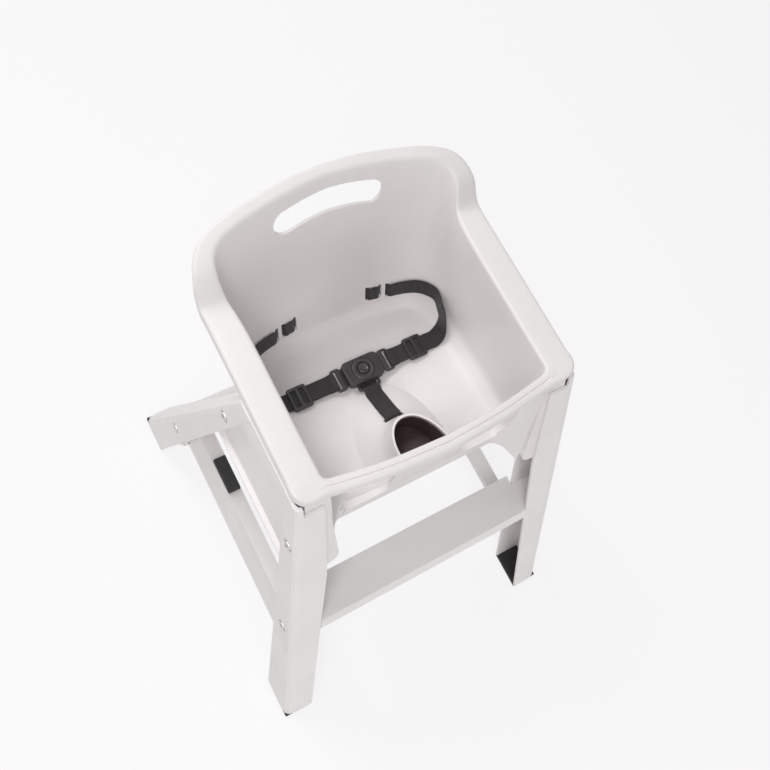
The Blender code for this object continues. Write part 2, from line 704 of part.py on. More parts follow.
def leg_out(drop):
    return ARM_OUTER_HALF + LEG_SPLAY * drop


def leg_width(drop):
    share = min(max((drop - LEG_TOP_DROP) / (LEG_FULL_DROP - LEG_TOP_DROP), 0.0), 1.0)
    return LEG_WIDTH_TOP + (LEG_WIDTH - LEG_WIDTH_TOP) * share


def leg_in(drop):
    return leg_out(drop) - leg_width(drop)


def leg_depth(drop):
    return LEG_DEPTH_TOP + LEG_DEPTH_RATE * (drop - LEG_TOP_DROP)


def leg_near(end, drop):
    """The Y of a leg's foremost face at a drop, for the front or the rear leg."""
    if end == "front":
        return back_y(FRONT_LEG_START - FRONT_RAKE * drop)
    return back_y(REAR_LEG_START + REAR_RAKE * drop)


def leg_far(end, drop):
    return leg_near(end, drop) + leg_depth(drop)


def channel_section(end, side, drop):
    """The C-shaped section of a leg, open towards the middle of the chair."""
    near = leg_near(end, drop)
    far = leg_far(end, drop)
    outer = leg_out(drop)
    inner = leg_in(drop)
    turn = leg_depth(drop) * LEG_ROUND_SHARE
    inside_turn = turn - LEG_WALL * LEG_INSIDE_ROUND_SHARE
    soft, hard, inward = (near, far, 1) if end == "front" else (far, near, -1)
    corner = [(outer - turn * x, soft + inward * turn * y) for x, y in LEG_CORNER_SHARES]
    inside_corner = [
        (outer - LEG_WALL - inside_turn * x, soft + inward * (LEG_WALL + inside_turn * y))
        for x, y in LEG_INSIDE_CORNER_SHARES
    ]
    outline = [
        (inner, soft), *corner, (outer, hard), (inner, hard), (inner, hard - inward * LEG_WALL),
        (outer - LEG_WALL, hard - inward * LEG_WALL), *inside_corner, (inner, soft + inward * LEG_WALL),
    ]
    return [Vector((side * x, y, drop_z(drop))) for x, y in outline]


def leg(end, side):
    drops = (LEG_TOP_DROP, LEG_FULL_DROP, LEG_FOOT_DROP)
    return loft(f"leg_{end}_{side_name(side)}", [channel_section(end, side, drop) for drop in drops])


def side_panel(side):
    """The upper band, the recessed panel under it and its out-turned foot, as one profile."""
    deep = PANEL_RECESS + PANEL_WALL
    flange = PANEL_RECESS - PANEL_FLANGE
    profile = (
        (BAND_INSET, BAND_TOP_DROP), (BAND_INSET, BAND_FOOT_DROP), (PANEL_RECESS, BAND_FOOT_DROP),
        (PANEL_RECESS, PANEL_FOOT_DROP - PANEL_WALL), (flange, PANEL_FOOT_DROP - PANEL_WALL),
        (flange, PANEL_FOOT_DROP), (deep, PANEL_FOOT_DROP),
        (deep, BAND_FOOT_DROP - PANEL_WALL), (BAND_INSET + PANEL_WALL, BAND_FOOT_DROP - PANEL_WALL),
        (BAND_INSET + PANEL_WALL, BAND_TOP_DROP),
    )
    front = []
    rear = []
    for inset, drop in profile:
        x = side * (leg_out(drop) - inset)
        front.append(Vector((x, leg_far("front", drop) - PANEL_LAP, drop_z(drop))))
        rear.append(Vector((x, leg_near("rear", drop) + PANEL_LAP, drop_z(drop))))
    return loft(f"side_panel_{side_name(side)}", [front, rear])


def lobe(end, side):
    """The tongue of the tub that fills the top of a leg and takes its bolt."""
    foot = LOBE_FOOT_DROP if end == "front" else REAR_LOBE_FOOT_DROP
    shoulder = foot - LOBE_SHOULDER_SHARE * (foot - UPPER_BOLT_DROP)
    drops = (LOBE_TOP_DROP, LEG_TOP_DROP, UPPER_BOLT_DROP, shoulder, foot)
    sections = []
    for drop in drops:
        share = (drop - LOBE_TOP_DROP) / (LOBE_FOOT_DROP - LOBE_TOP_DROP)
        root = LOBE_ROOT + (LOBE_TIP - LOBE_ROOT) * (share if end == "front" else 0.0)
        level = max(drop, LEG_TOP_DROP)
        lean = (drop - level) * (-FRONT_RAKE if end == "front" else REAR_RAKE)
        near = leg_near(end, level) + LEG_WALL + LOBE_CLEARANCE + lean
        far = leg_far(end, level) - LEG_WALL - LOBE_CLEARANCE + lean
        reach = leg_out(level) - LEG_WALL - LOBE_CLEARANCE - leg_depth(level) * LEG_ROUND_SHARE
        if drop == foot:
            width = reach - root
            root += width * LOBE_ROOT_CUT_SHARE
            reach -= width * LOBE_TIP_CUT_SHARE
        corners = ((root, near), (reach, near), (reach, far), (root, far))
        sections.append([Vector((side * x, y, drop_z(drop))) for x, y in corners])
    return loft(f"lobe_{end}_{side_name(side)}", sections)


def axis_place(point, direction):
    """A matrix whose Z axis runs along the direction from the point."""
    return Matrix.Translation(point) @ direction.to_track_quat("Z", "Y").to_matrix().to_4x4()


def web_bolt_place(end, side, drop, lap):
    """Where a bolt goes in through the outer face of a leg, square to it."""
    outward = Vector((side, 0.0, LEG_SPLAY)).normalized()
    y = (leg_near(end, drop) + leg_far(end, drop)) / 2 + lap
    face = Vector((side * leg_out(drop), y, drop_z(drop)))
    return axis_place(face, outward)


def flange_bolt_place(end, side):
    """Where a bolt goes through the end plate of a rail into the flange of a leg."""
    drop = RAIL_BOLT_DROP
    x = side * (rail_web_out(drop) + RAIL_BOLT_OUT)
    if end == "front":
        slope = LEG_DEPTH_RATE - FRONT_RAKE
        outward = Vector((0.0, 1.0, slope)).normalized()
        face = Vector((x, leg_far("front", drop), drop_z(drop)))
    else:
        outward = Vector((0.0, -1.0, -REAR_RAKE)).normalized()
        face = Vector((x, leg_near("rear", drop), drop_z(drop)))
    return axis_place(face + outward * (SEAT_GAP + RAIL_PLATE_WALL), outward)


def bolt(name, place, seat, length):
    """A pan-head bolt whose head rests at the seat height along the place's axis."""
    shank = Matrix.Translation((0.0, 0.0, seat + SEAT_GAP - length / 2 + BOLT_RADIUS / 2))
    head = Matrix.Translation((0.0, 0.0, seat + SEAT_GAP + BOLT_HEAD_HEIGHT / 2))
    mesh = cylinder_mesh(name, BOLT_RADIUS, length + BOLT_RADIUS, BOLT_SIDES, shank)
    obj = object_from(name, mesh, nodes, materials["steel"])
    flat = BOLT_HEAD_RADIUS * BOLT_DOME_SHARE
    dome = cylinder_mesh(f"{name}_head", BOLT_HEAD_RADIUS, BOLT_HEAD_HEIGHT, BOLT_HEAD_SIDES, head, flat)
    head_helper = helper(dome)
    head_helper.matrix_world = place
    boolean(obj, head_helper, "UNION")
    obj.matrix_world = place
    return obj


def bolt_hole(target, label, place, length, seat=0.0):
    span = length + BOLT_RADIUS + 2 * CUT_OVERRUN
    middle = Matrix.Translation((0.0, 0.0, seat - span / 2 + 2 * CUT_OVERRUN))
    mesh = cylinder_mesh(f"hole_{label}", BOLT_RADIUS + BOLT_CLEARANCE, span, BOLT_SIDES, place @ middle)
    cut(target, mesh)


def bolt_pocket(target, label, place):
    middle = Matrix.Translation((0.0, 0.0, CUT_OVERRUN / 2 - POCKET_DEPTH / 2))
    depth = POCKET_DEPTH + CUT_OVERRUN
    mesh = cylinder_mesh(f"pocket_{label}", POCKET_RADIUS, depth, POCKET_SIDES, place @ middle)
    cut(target, mesh)


def foot_pad(end, side):
    drop = RIM_HEIGHT - PAD_HEIGHT
    near = leg_near(end, drop) + PAD_INSET
    far = leg_far(end, drop) - PAD_INSET
    inner = leg_in(drop) + PAD_INSET
    outer = leg_out(drop) - PAD_INSET
    size = (outer - inner, far - near, PAD_HEIGHT)
    middle = (side * (inner + outer) / 2, (near + far) / 2, PAD_HEIGHT / 2)
    name = f"foot_pad_{end}_{side_name(side)}"
    obj = object_from(name, box_mesh(name, size, middle), nodes, materials["rubber"])
    bevel(obj, PAD_ROUND)


def crossbar_section(end, drop, nose, tail):
    """A board between a pair of legs, with narrow ends that enter their channels."""
    near = leg_near(end, drop)
    far = leg_far(end, drop)
    wide = leg_in(drop) - LOBE_CLEARANCE
    tip = leg_out(drop) - LEG_WALL - SEAT_GAP
    turn = leg_depth(drop) * LEG_ROUND_SHARE
    tip_near = near + LEG_WALL + SEAT_GAP
    tip_far = far - LEG_WALL - SEAT_GAP
    if end == "front":
        tips = [(tip - turn, tip_near), (tip, tip_near + turn), (tip, tip_far)]
    else:
        tips = [(tip, tip_near), (tip, tip_far - turn), (tip - turn, tip_far)]
    half = [(wide, near - nose), (wide, tip_near), *tips, (wide, tip_far), (wide, far + tail)]
    outline = half + [(-x, y) for x, y in reversed(half)]
    return [Vector((x, y, drop_z(drop))) for x, y in outline]


def crossbar(name, end, top_drop, height, nose, tail):
    sections = [crossbar_section(end, drop, nose, tail) for drop in (top_drop, top_drop + height)]
    obj = object_from(name, loft(name, sections), nodes, materials["plastic"])
    hollow = []
    for drop in (top_drop + CROSSBAR_WALL, top_drop + height + CUT_OVERRUN):
        reach = leg_in(drop) - CROSSBAR_SOLID_END
        near = leg_near(end, drop) - nose + CROSSBAR_WALL
        far = leg_far(end, drop) + tail - CROSSBAR_WALL
        corners = ((reach, near), (reach, far), (-reach, far), (-reach, near))
        hollow.append([Vector((x, y, drop_z(drop))) for x, y in corners])
    cut(obj, loft(f"{name}_hollow", hollow))
    return obj


def rail_web_out(drop):
    return RAIL_INNER + RAIL_TOP_WIDTH + RAIL_LEAN * (drop - RAIL_DROP)


def along_leg(end, x, drop, away):
    """A point a small way off the face of a leg that a rail ends on."""
    if end == "front":
        return Vector((x, leg_far("front", drop) + away, drop_z(drop)))
    return Vector((x, leg_near("rear", drop) - away, drop_z(drop)))


def side_rail(side):
    name = f"side_rail_{side_name(side)}"
    foot = RAIL_DROP + RAIL_HEIGHT
    profile = (
        (RAIL_INNER, RAIL_DROP + RAIL_LIP), (RAIL_INNER, RAIL_DROP),
        (rail_web_out(RAIL_DROP), RAIL_DROP), (rail_web_out(foot), foot),
        (rail_web_out(foot) - RAIL_WALL, foot),
        (rail_web_out(RAIL_DROP + RAIL_WALL) - RAIL_WALL, RAIL_DROP + RAIL_WALL),
        (RAIL_INNER + RAIL_WALL, RAIL_DROP + RAIL_WALL), (RAIL_INNER + RAIL_WALL, RAIL_DROP + RAIL_LIP),
    )
    lap = SEAT_GAP + RAIL_PLATE_WALL / 2
    ends = [[along_leg(end, side * x, drop, lap) for x, drop in profile] for end in ("front", "rear")]
    obj = object_from(name, loft(name, ends), nodes, materials["plastic"])
    for end in ("front", "rear"):
        join(obj, rail_plate(end, side))
        label = f"{end}_rail_{side_name(side)}"
        place = flange_bolt_place(end, side)
        bolt_hole(obj, f"{label}_in_rail", place, RAIL_BOLT_LENGTH)
        bolt(f"bolt_{label}", place, 0.0, RAIL_BOLT_LENGTH)
    return obj


def rail_plate(end, side):
    """The rounded plate at the end of a rail, flat against the leg's flange."""
    top = RAIL_DROP + RAIL_WALL / 2
    foot = RAIL_DROP + RAIL_HEIGHT - RAIL_WALL / 2
    wide, narrow = (RAIL_PLATE_WIDTH * share for share in RAIL_PLATE_FOOT_SHARES)
    outline = (
        (rail_web_out(top) - RAIL_WALL / 2, top),
        (rail_web_out(top) + RAIL_PLATE_WIDTH - RAIL_PLATE_ROUND, top),
        (rail_web_out(top) + RAIL_PLATE_WIDTH, top + RAIL_PLATE_ROUND),
        (rail_web_out(foot) + wide, foot - RAIL_PLATE_ROUND),
        (rail_web_out(foot) + narrow, foot), (rail_web_out(foot) - RAIL_WALL / 2, foot),
    )
    sections = [
        [along_leg(end, side * x, drop, SEAT_GAP + run) for x, drop in outline]
        for run in (0.0, RAIL_PLATE_WALL)
    ]
    return loft(f"rail_plate_{end}_{side_name(side)}", sections)


def stack_pad(side):
    name = f"stack_pad_{side_name(side)}"
    size = (RAIL_TOP_WIDTH - 2 * STACK_PAD_INSET, STACK_PAD_LENGTH, STACK_PAD_HEIGHT)
    middle = (
        side * (RAIL_INNER + RAIL_TOP_WIDTH / 2), back_y(STACK_PAD_BACK + STACK_PAD_LENGTH / 2),
        drop_z(RAIL_DROP) + SEAT_GAP + STACK_PAD_HEIGHT / 2,
    )
    obj = object_from(name, box_mesh(name, size, middle), nodes, materials["rubber"])
    bevel(obj, STACK_PAD_ROUND)


def leg_notch(side):
    """The scoop in the top of a front leg's front face."""
    inner = leg_in(LEG_TOP_DROP) - CUT_OVERRUN
    outer = leg_out(LEG_TOP_DROP) - LEG_NOTCH_EDGE
    low_y = leg_near("front", LEG_NOTCH_FOOT_DROP) - CUT_OVERRUN
    high_y = leg_near("front", LEG_TOP_DROP) + LEG_WALL + LOBE_CLEARANCE
    low_z = drop_z(LEG_NOTCH_FOOT_DROP)
    high_z = drop_z(LEG_TOP_DROP) + CUT_OVERRUN
    size = (outer - inner, high_y - low_y, high_z - low_z)
    middle = (side * (inner + outer) / 2, (low_y + high_y) / 2, (low_z + high_z) / 2)
    return box_mesh(f"leg_notch_{side_name(side)}", size, middle)


def side_frame(side):
    name = f"side_frame_{side_name(side)}"
    obj = object_from(name, leg("front", side), nodes, materials["plastic"])
    join(obj, leg("rear", side))
    join(obj, side_panel(side))
    cut(obj, leg_notch(side))
    return obj


def web_bolts(side, frame, tub, footrest, crossbar_node):
    """The bolts through the outer faces of the legs, into the tub and the crossbars."""
    footrest_drop = FOOTREST_DROP + FOOTREST_BOLT_LOWER
    crossbar_drop = CROSSBAR_DROP + CROSSBAR_HEIGHT / 2
    rows = (
        ("front_upper", "front", UPPER_BOLT_DROP, tub), ("rear_upper", "rear", UPPER_BOLT_DROP, tub),
        ("footrest", "front", footrest_drop, footrest), ("crossbar", "rear", crossbar_drop, crossbar_node),
    )
    for label, end, drop, carrier in rows:
        place = web_bolt_place(end, side, drop, 0.0)
        full = f"{label}_{side_name(side)}"
        bolt_hole(frame, f"{full}_in_frame", place, BOLT_LENGTH)
        bolt_hole(carrier, f"{full}_in_carrier", place, BOLT_LENGTH)
        bolt_pocket(frame, full, place)
        bolt(f"bolt_{full}", place, -POCKET_DEPTH, BOLT_LENGTH)


def webbing(name, path, wide, material):
    """A flat band: its middle line, and the direction of its width at each point."""
    sections = []
    count = len(path)
    for index, (point, across) in enumerate(zip(path, wide)):
        along = (path[min(index + 1, count - 1)] - path[max(index - 1, 0)]).normalized()
        across = (across - along * across.dot(along)).normalized()
        up = across.cross(along).normalized()
        half = across * WEB_WIDTH / 2
        thick = up * WEB_THICK / 2
        low, high = point - thick, point + thick
        sections.append([low - half, low + half, high + half, high - half])
    return object_from(name, loft(name, sections), nodes, material)


def smooth_path(keys):
    """Points on a smooth line through pairs of place and width direction."""
    path = through_keys([place for place, _ in keys], STEPS_BETWEEN_KEYS)
    wide = []
    for (_, start), (_, end) in zip(keys, keys[1:]):
        wide += [start.lerp(end, step / STEPS_BETWEEN_KEYS) for step in range(STEPS_BETWEEN_KEYS)]
    wide.append(keys[-1][1])
    return path, wide


def mirrored(side, vector):
    return Vector((side * vector.x, vector.y, vector.z))


def slot_run(side):
    """The strap's way out through the near slot, round the bar and in through the far slot."""
    off = WEB_THICK / 2 + STRAP_CLEARANCE
    turn = off * math.sqrt(0.5)
    near = STRAP_SLOT_NEAR + STRAP_SLOT_WIDTH / 2
    far = STRAP_SLOT_FAR - STRAP_SLOT_WIDTH / 2
    places = (
        (near - off, 0.0), (near - off, TUB_WALL), (near - turn, TUB_WALL + turn),
        (near, TUB_WALL + off), ((near + far) / 2, TUB_WALL + off), (far, TUB_WALL + off),
        (far + turn, TUB_WALL + turn), (far + off, TUB_WALL), (far + off, 0.0), (far + 2 * off, -2 * off),
    )
    keys = []
    for out, away in places:
        place, up, outward = wall_place(wall_position(out, STRAP_SLOT_DROP), STRAP_SLOT_DROP)
        outward.x = 0.0
        place += outward * (away / outward.length_squared)
        up.x = 0.0
        keys.append((mirrored(side, place), up))
    return keys


def waist_strap(side):
    keys = slot_run(side)
    for key, share in WAIST_WALL_SHARES:
        place, up, outward = wall_place(key * STEPS_BETWEEN_KEYS, share * SEAT_DEPTH)
        keys.append((mirrored(side, place - outward * STRAP_STAND_OFF), mirrored(side, up)))
    upright = Vector((0.0, 0.0, 1.0))
    flat = Vector((0.0, -1.0, 0.0))
    for out, back, drop, lying in WAIST_FREE_SHARES:
        place = Vector((side * out * ARM_INNER_HALF, back_y(back * TUB_LENGTH), drop_z(drop * SEAT_DEPTH)))
        keys.append((place, upright.lerp(flat, lying)))
    path, wide = smooth_path(keys)
    for out in (LEVEL_RUN_OUT, tongue_outer() + SEAT_GAP):
        path.append(Vector((side * out, back_y(BUCKLE_BACK), drop_z(tongue_drop()))))
        wide.append(flat)
    webbing(f"waist_strap_{side_name(side)}", path, wide, materials["webbing"])


def crotch_strap():
    flat = Vector((1.0, 0.0, 0.0))
    keys = [
        (Vector((0.0, back_y(back * TUB_LENGTH), drop_z(drop * SEAT_DEPTH))), flat)
        for back, drop in CROTCH_ROUTE_SHARES
    ]
    path, wide = smooth_path(keys)
    webbing("crotch_strap", path, wide, materials["webbing"])


def tongue_drop():
    """The drop of the tongues' middle plane, which lies in the buckle's base."""
    return BUCKLE_DROP + TONGUE_HEIGHT / 2 + TONGUE_CLEARANCE


def tongue_outer():
    return BUCKLE_LENGTH / 2 - TONGUE_REACH + TONGUE_LENGTH


def buckle_base():
    z = drop_z(BUCKLE_DROP)
    size = (BUCKLE_LENGTH, BUCKLE_WIDTH, BASE_HEIGHT)
    middle = (0.0, back_y(BUCKLE_BACK), z - BASE_HEIGHT / 2)
    obj = object_from("buckle_base", box_mesh("buckle_base", size, middle), nodes, materials["buckle"])
    bevel(obj, BASE_ROUND)
    well = Matrix.Translation((0.0, back_y(BUCKLE_BACK), z - WELL_DEPTH / 2 + CUT_OVERRUN / 2))
    cut(obj, cylinder_mesh("spring_well", WELL_RADIUS, WELL_DEPTH + CUT_OVERRUN, TURNED_SIDES, well))
    for side in (1, -1):
        depth = TONGUE_HEIGHT + 2 * TONGUE_CLEARANCE
        reach = TONGUE_REACH + TONGUE_CLEARANCE
        channel = (reach + CUT_OVERRUN, TONGUE_WIDTH + 2 * TONGUE_CLEARANCE, depth + CUT_OVERRUN)
        place = (
            side * (BUCKLE_LENGTH / 2 - reach / 2 + CUT_OVERRUN / 2), back_y(BUCKLE_BACK),
            z - depth / 2 + CUT_OVERRUN / 2,
        )
        cut(obj, box_mesh(f"tongue_channel_{side_name(side)}", channel, place))
    return obj


def buckle_cover():
    low = drop_z(BUCKLE_DROP) + SEAT_GAP
    size = (BUCKLE_LENGTH, BUCKLE_WIDTH, COVER_HEIGHT)
    middle = Vector((0.0, back_y(BUCKLE_BACK), low + COVER_HEIGHT / 2))
    obj = object_from("buckle_cover", box_mesh("buckle_cover", size, middle), nodes, materials["buckle"])
    bevel(obj, BUCKLE_ROUND)
    bore = Matrix.Translation(middle)
    radius = BUTTON_RADIUS + BUTTON_CLEARANCE
    cut(obj, cylinder_mesh("button_bore", radius, COVER_HEIGHT + 2 * CUT_OVERRUN, TURNED_SIDES, bore))


def button():
    """A domed cap with a skirt, standing proud of the cover by more than its travel."""
    low = drop_z(BUCKLE_DROP) + SEAT_GAP
    top = low + COVER_HEIGHT + BUTTON_PROUD
    roof = low + COVER_HEIGHT - BUTTON_TRAVEL
    inner = BUTTON_RADIUS - BUTTON_WALL
    dome = [(BUTTON_RADIUS * out, top - BUTTON_PROUD * down) for out, down in BUTTON_DOME_SHARES]
    profile = (*dome, (BUTTON_RADIUS, low), (inner, low), (inner, roof), (0.0, roof))
    mesh = bpy.data.meshes.new("button")
    shape = bmesh.new()
    corners = [shape.verts.new((x, 0.0, z)) for x, z in profile]
    for start, end in zip(corners, corners[1:]):
        shape.edges.new((start, end))
    shape.to_mesh(mesh)
    shape.free()
    obj = object_from("button", mesh, nodes, materials["buckle"])
    obj.location = (0.0, back_y(BUCKLE_BACK), 0.0)
    turn = obj.modifiers.new("turned", "SCREW")
    turn.steps = TURNED_SIDES
    turn.render_steps = TURNED_SIDES
    turn.use_merge_vertices = True
    turn.merge_threshold = MERGE_DISTANCE


def button_spring():
    """The coil under the button, standing on the floor of the well."""
    low = drop_z(BUCKLE_DROP) - WELL_DEPTH + SPRING_WIRE + SEAT_GAP
    high = drop_z(BUCKLE_DROP) + COVER_HEIGHT - BUTTON_TRAVEL - SPRING_WIRE
    curve = bpy.data.curves.new("button_spring", "CURVE")
    curve.dimensions = "3D"
    curve.bevel_depth = SPRING_WIRE
    curve.bevel_resolution = 1
    curve.use_fill_caps = True
    spline = curve.splines.new("POLY")
    count = SPRING_TURNS * SPRING_STEPS + 1
    spline.points.add(count - 1)
    for index in range(count):
        share = index / (count - 1)
        angle = 2 * math.pi * SPRING_TURNS * share
        x = SPRING_RADIUS * math.cos(angle)
        y = SPRING_RADIUS * math.sin(angle)
        spline.points[index].co = (x, y, low + (high - low) * share, 1.0)
    pitch = (high - low) / SPRING_TURNS
    print(f"least gap between the spring's turns: {pitch - 2 * SPRING_WIRE:.5f} m")
    obj = bpy.data.objects.new("button_spring", curve)
    nodes.objects.link(obj)
    curve.materials.append(materials["steel"])
    obj.location = (0.0, back_y(BUCKLE_BACK), 0.0)


def tongue(side):
    """A flat tongue in the buckle with an eye for the strap at its outer end."""
    name = f"tongue_{side_name(side)}"
    inner = BUCKLE_LENGTH / 2 - TONGUE_REACH
    size = (TONGUE_LENGTH, TONGUE_WIDTH, TONGUE_HEIGHT)
    middle = (side * (inner + TONGUE_LENGTH / 2), back_y(BUCKLE_BACK), drop_z(tongue_drop()))
    obj = object_from(name, box_mesh(name, size, middle), nodes, materials["buckle"])
    bevel(obj, TONGUE_ROUND)
    eye = (TONGUE_SLOT, TONGUE_WIDTH - TONGUE_SLOT, TONGUE_HEIGHT + 2 * CUT_OVERRUN)
    place = (side * (tongue_outer() - TONGUE_SLOT), middle[1], middle[2])
    cut(obj, box_mesh(f"eye_{name}", eye, place))


def slider(side, out):
    """A strap adjuster: a frame round the band with a window on each side of its middle bar."""
    name = f"slider_{side_name(side)}"
    size = (SLIDER_LENGTH, SLIDER_WIDTH, SLIDER_HEIGHT)
    middle = Vector((side * out, back_y(BUCKLE_BACK), drop_z(tongue_drop())))
    obj = object_from(name, box_mesh(name, size, middle), nodes, materials["buckle"])
    bevel(obj, SLIDER_ROUND)
    tunnel = (
        SLIDER_LENGTH + 2 * CUT_OVERRUN, WEB_WIDTH + 2 * SLIDER_CLEARANCE, WEB_THICK + 2 * SLIDER_CLEARANCE,
    )
    cut(obj, box_mesh(f"tunnel_{name}", tunnel, middle))
    window_length = (SLIDER_LENGTH - SLIDER_BAR) / 2 - SLIDER_BAR
    for label, step in (("near", -1), ("far", 1)):
        window = (window_length, WEB_WIDTH - SLIDER_BAR, SLIDER_HEIGHT)
        place = middle + Vector((step * (window_length + SLIDER_BAR) / 2, 0.0, SLIDER_HEIGHT / 2))
        cut(obj, box_mesh(f"window_{label}_{name}", window, place))


def seat_tub():
    obj = tub_shell()
    join(obj, pommel())
    join(obj, skirt())
    for side in (1, -1):
        join(obj, corner_wall(side))
        join(obj, lobe("front", side))
        join(obj, lobe("rear", side))
    cut(obj, pommel_hollow())
    cut(obj, hand_slot())
    cut(obj, crotch_slot())
    for side in (1, -1):
        cut(obj, leg_opening(side))
        cut(obj, strap_slot(side, STRAP_SLOT_NEAR, "near"))
        cut(obj, strap_slot(side, STRAP_SLOT_FAR, "far"))
    return obj


def build_chair():
    tub = seat_tub()
    footrest = crossbar("footrest", "front", FOOTREST_DROP, FOOTREST_HEIGHT, FOOTREST_NOSE, FOOTREST_TAIL)
    rear_bar = crossbar("rear_crossbar", "rear", CROSSBAR_DROP, CROSSBAR_HEIGHT, 0.0, 0.0)
    for side in (1, -1):
        frame = side_frame(side)
        web_bolts(side, frame, tub, footrest, rear_bar)
        for end in ("front", "rear"):
            place = flange_bolt_place(end, side)
            bolt_hole(frame, f"{end}_rail_{side_name(side)}_in_leg", place, RAIL_BOLT_LENGTH)
            foot_pad(end, side)
        side_rail(side)
        stack_pad(side)
    for side, out in ((1, RIGHT_SLIDER_OUT), (-1, LEFT_SLIDER_OUT)):
        waist_strap(side)
        tongue(side)
        slider(side, out)
    crotch_strap()
    buckle_base()
    buckle_cover()
    button()
    button_spring()
    for obj in nodes.objects:
        if obj.type == "MESH" and obj.name.startswith(("bolt", "button", "seat")):
            shade(obj)


clear_scene()
nodes = make_collection(COLLECTION)
helpers = make_collection("cutters")
helpers.hide_render = True
materials = {
    "tub": make_material("tub plastic", TUB_PLASTIC, 0.45),
    "plastic": make_material("frame plastic", PLASTIC, 0.4),
    "rubber": make_material("black rubber", RUBBER, 0.7),
    "webbing": make_material("black webbing", WEBBING, 0.8),
    "buckle": make_material("buckle plastic", BUCKLE_PLASTIC, 0.35),
    "steel": make_material("plated steel", STEEL, 0.35, 0.9),
}
build_chair()
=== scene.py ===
"""Looks of a stackable high chair: moulded plastic tub and frame, rubber pads, plated bolts and a
black webbing harness, on a pale floor under soft studio light.

Lengths are in metres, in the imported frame: +Z is up, the front of the chair faces -Y and the floor
is at zero.
"""

import math

import bmesh
import bpy
import numpy
from mathutils import Matrix, Vector
from mathutils.bvhtree import BVHTree


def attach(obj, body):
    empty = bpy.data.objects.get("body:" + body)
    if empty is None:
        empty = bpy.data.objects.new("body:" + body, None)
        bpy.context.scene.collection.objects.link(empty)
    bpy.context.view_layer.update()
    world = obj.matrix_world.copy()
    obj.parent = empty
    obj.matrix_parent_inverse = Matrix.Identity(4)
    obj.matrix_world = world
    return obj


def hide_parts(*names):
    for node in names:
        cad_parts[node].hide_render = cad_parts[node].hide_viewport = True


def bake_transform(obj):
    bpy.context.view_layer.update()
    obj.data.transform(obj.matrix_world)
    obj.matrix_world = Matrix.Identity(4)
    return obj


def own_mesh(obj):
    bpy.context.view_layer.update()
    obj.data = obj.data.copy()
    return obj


bl_info = {
    "name": "High Chair Looks",
    "version": (1, 0, 0),
    "blender": (4, 5, 0),
    "location": "View3D > Sidebar > High Chair",
    "description": "Finishes and small parts of a stackable high chair",
    "category": "Object",
}

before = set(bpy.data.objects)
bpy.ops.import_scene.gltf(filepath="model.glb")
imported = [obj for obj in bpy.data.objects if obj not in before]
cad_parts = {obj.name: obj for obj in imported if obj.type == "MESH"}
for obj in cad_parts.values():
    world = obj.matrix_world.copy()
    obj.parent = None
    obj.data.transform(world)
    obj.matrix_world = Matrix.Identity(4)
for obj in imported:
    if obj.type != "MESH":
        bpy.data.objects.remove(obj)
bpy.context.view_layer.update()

# Places and sizes that the chair's parts share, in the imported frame
RIM_HEIGHT = 0.670
TUB_FRONT = -0.0577936
ARM_INNER_HALF = 0.152
ARM_OUTER_HALF = 0.1906
TUB_LENGTH = 0.306
BACK_RISE = 0.066
SEAT_DEPTH = 0.170
TUB_WALL = 0.004
LIP_DROP = 0.016
RING_STEPS = 4
RIM_STEPS = 5
ROUND_LIMIT_SHARE = 0.3
WALL_FOOT_ROUND = 0.012
PAN_ROUND = 0.016
PAN_STEPS = 4
MERGE_DISTANCE = 0.00005
TURNED_MERGE_DISTANCE = 0.00001
BUCKLE_SIDES = 48

# Angles in degrees between faces, past which an edge stays sharp
TUB_SMOOTH_ANGLE = 32.0
PIECE_SMOOTH_ANGLE = 35.0
TURNED_SMOOTH_ANGLE = 40.0
WEBBING_SMOOTH_ANGLE = 50.0
SPRING_SMOOTH_ANGLE = 60.0

# The tub's edges from front to back, as shares of its half width, its length and a height
INNER_EDGE_SHARES = (
    (0.0, -0.056, -0.03), (0.5, -0.042, -0.03), (0.92, -0.012, -0.03), (0.98, -0.003, -0.015),
    (1.0, 0.013, 0.0), (1.0, 0.03, 0.0), (1.0, 0.06, 0.0), (1.0, 0.33, 0.0), (1.0, 0.61, 0.0),
    (1.013, 0.71, 0.0), (1.033, 0.762, 0.08), (1.053, 0.824, 0.47), (1.013, 0.889, 0.70),
    (0.88, 0.931, 0.83), (0.56, 0.97, 0.91), (0.26, 0.99, 0.97), (0.0, 1.0, 1.0),
)
OUTER_EDGE_SHARES = (
    (0.0, -0.115, -0.09), (0.4, -0.10, -0.09), (0.735, -0.072, -0.09), (0.805, -0.066, -0.06),
    (0.945, -0.06, -0.05), (1.0, -0.02, 0.0), (1.0, 0.046, 0.0), (1.0, 0.33, 0.0), (1.0, 0.61, 0.0),
    (1.0, 0.71, 0.0), (1.002, 0.771, 0.05), (0.986, 0.84, 0.485), (0.908, 0.925, 0.77),
    (0.745, 0.98, 0.91), (0.462, 1.02, 1.0), (0.22, 1.039, 1.06), (0.0, 1.046, 1.076),
)
WALL_FOOT_SHARES = (
    (0.0, -0.072, -0.88), (0.487, -0.065, -0.88), (0.868, -0.046, -0.88), (0.928, -0.026, -0.88),
    (0.96, 0.0, -0.88), (0.974, 0.026, -0.88), (0.974, 0.06, -0.88), (0.974, 0.33, -0.906),
    (0.967, 0.54, -0.93), (0.934, 0.608, -0.953), (0.88, 0.654, -0.976), (0.816, 0.686, -1.0),
    (0.737, 0.706, -1.024), (0.63, 0.722, -1.04), (0.42, 0.742, -1.06), (0.21, 0.752, -1.07),
    (0.0, 0.755, -1.07),
)
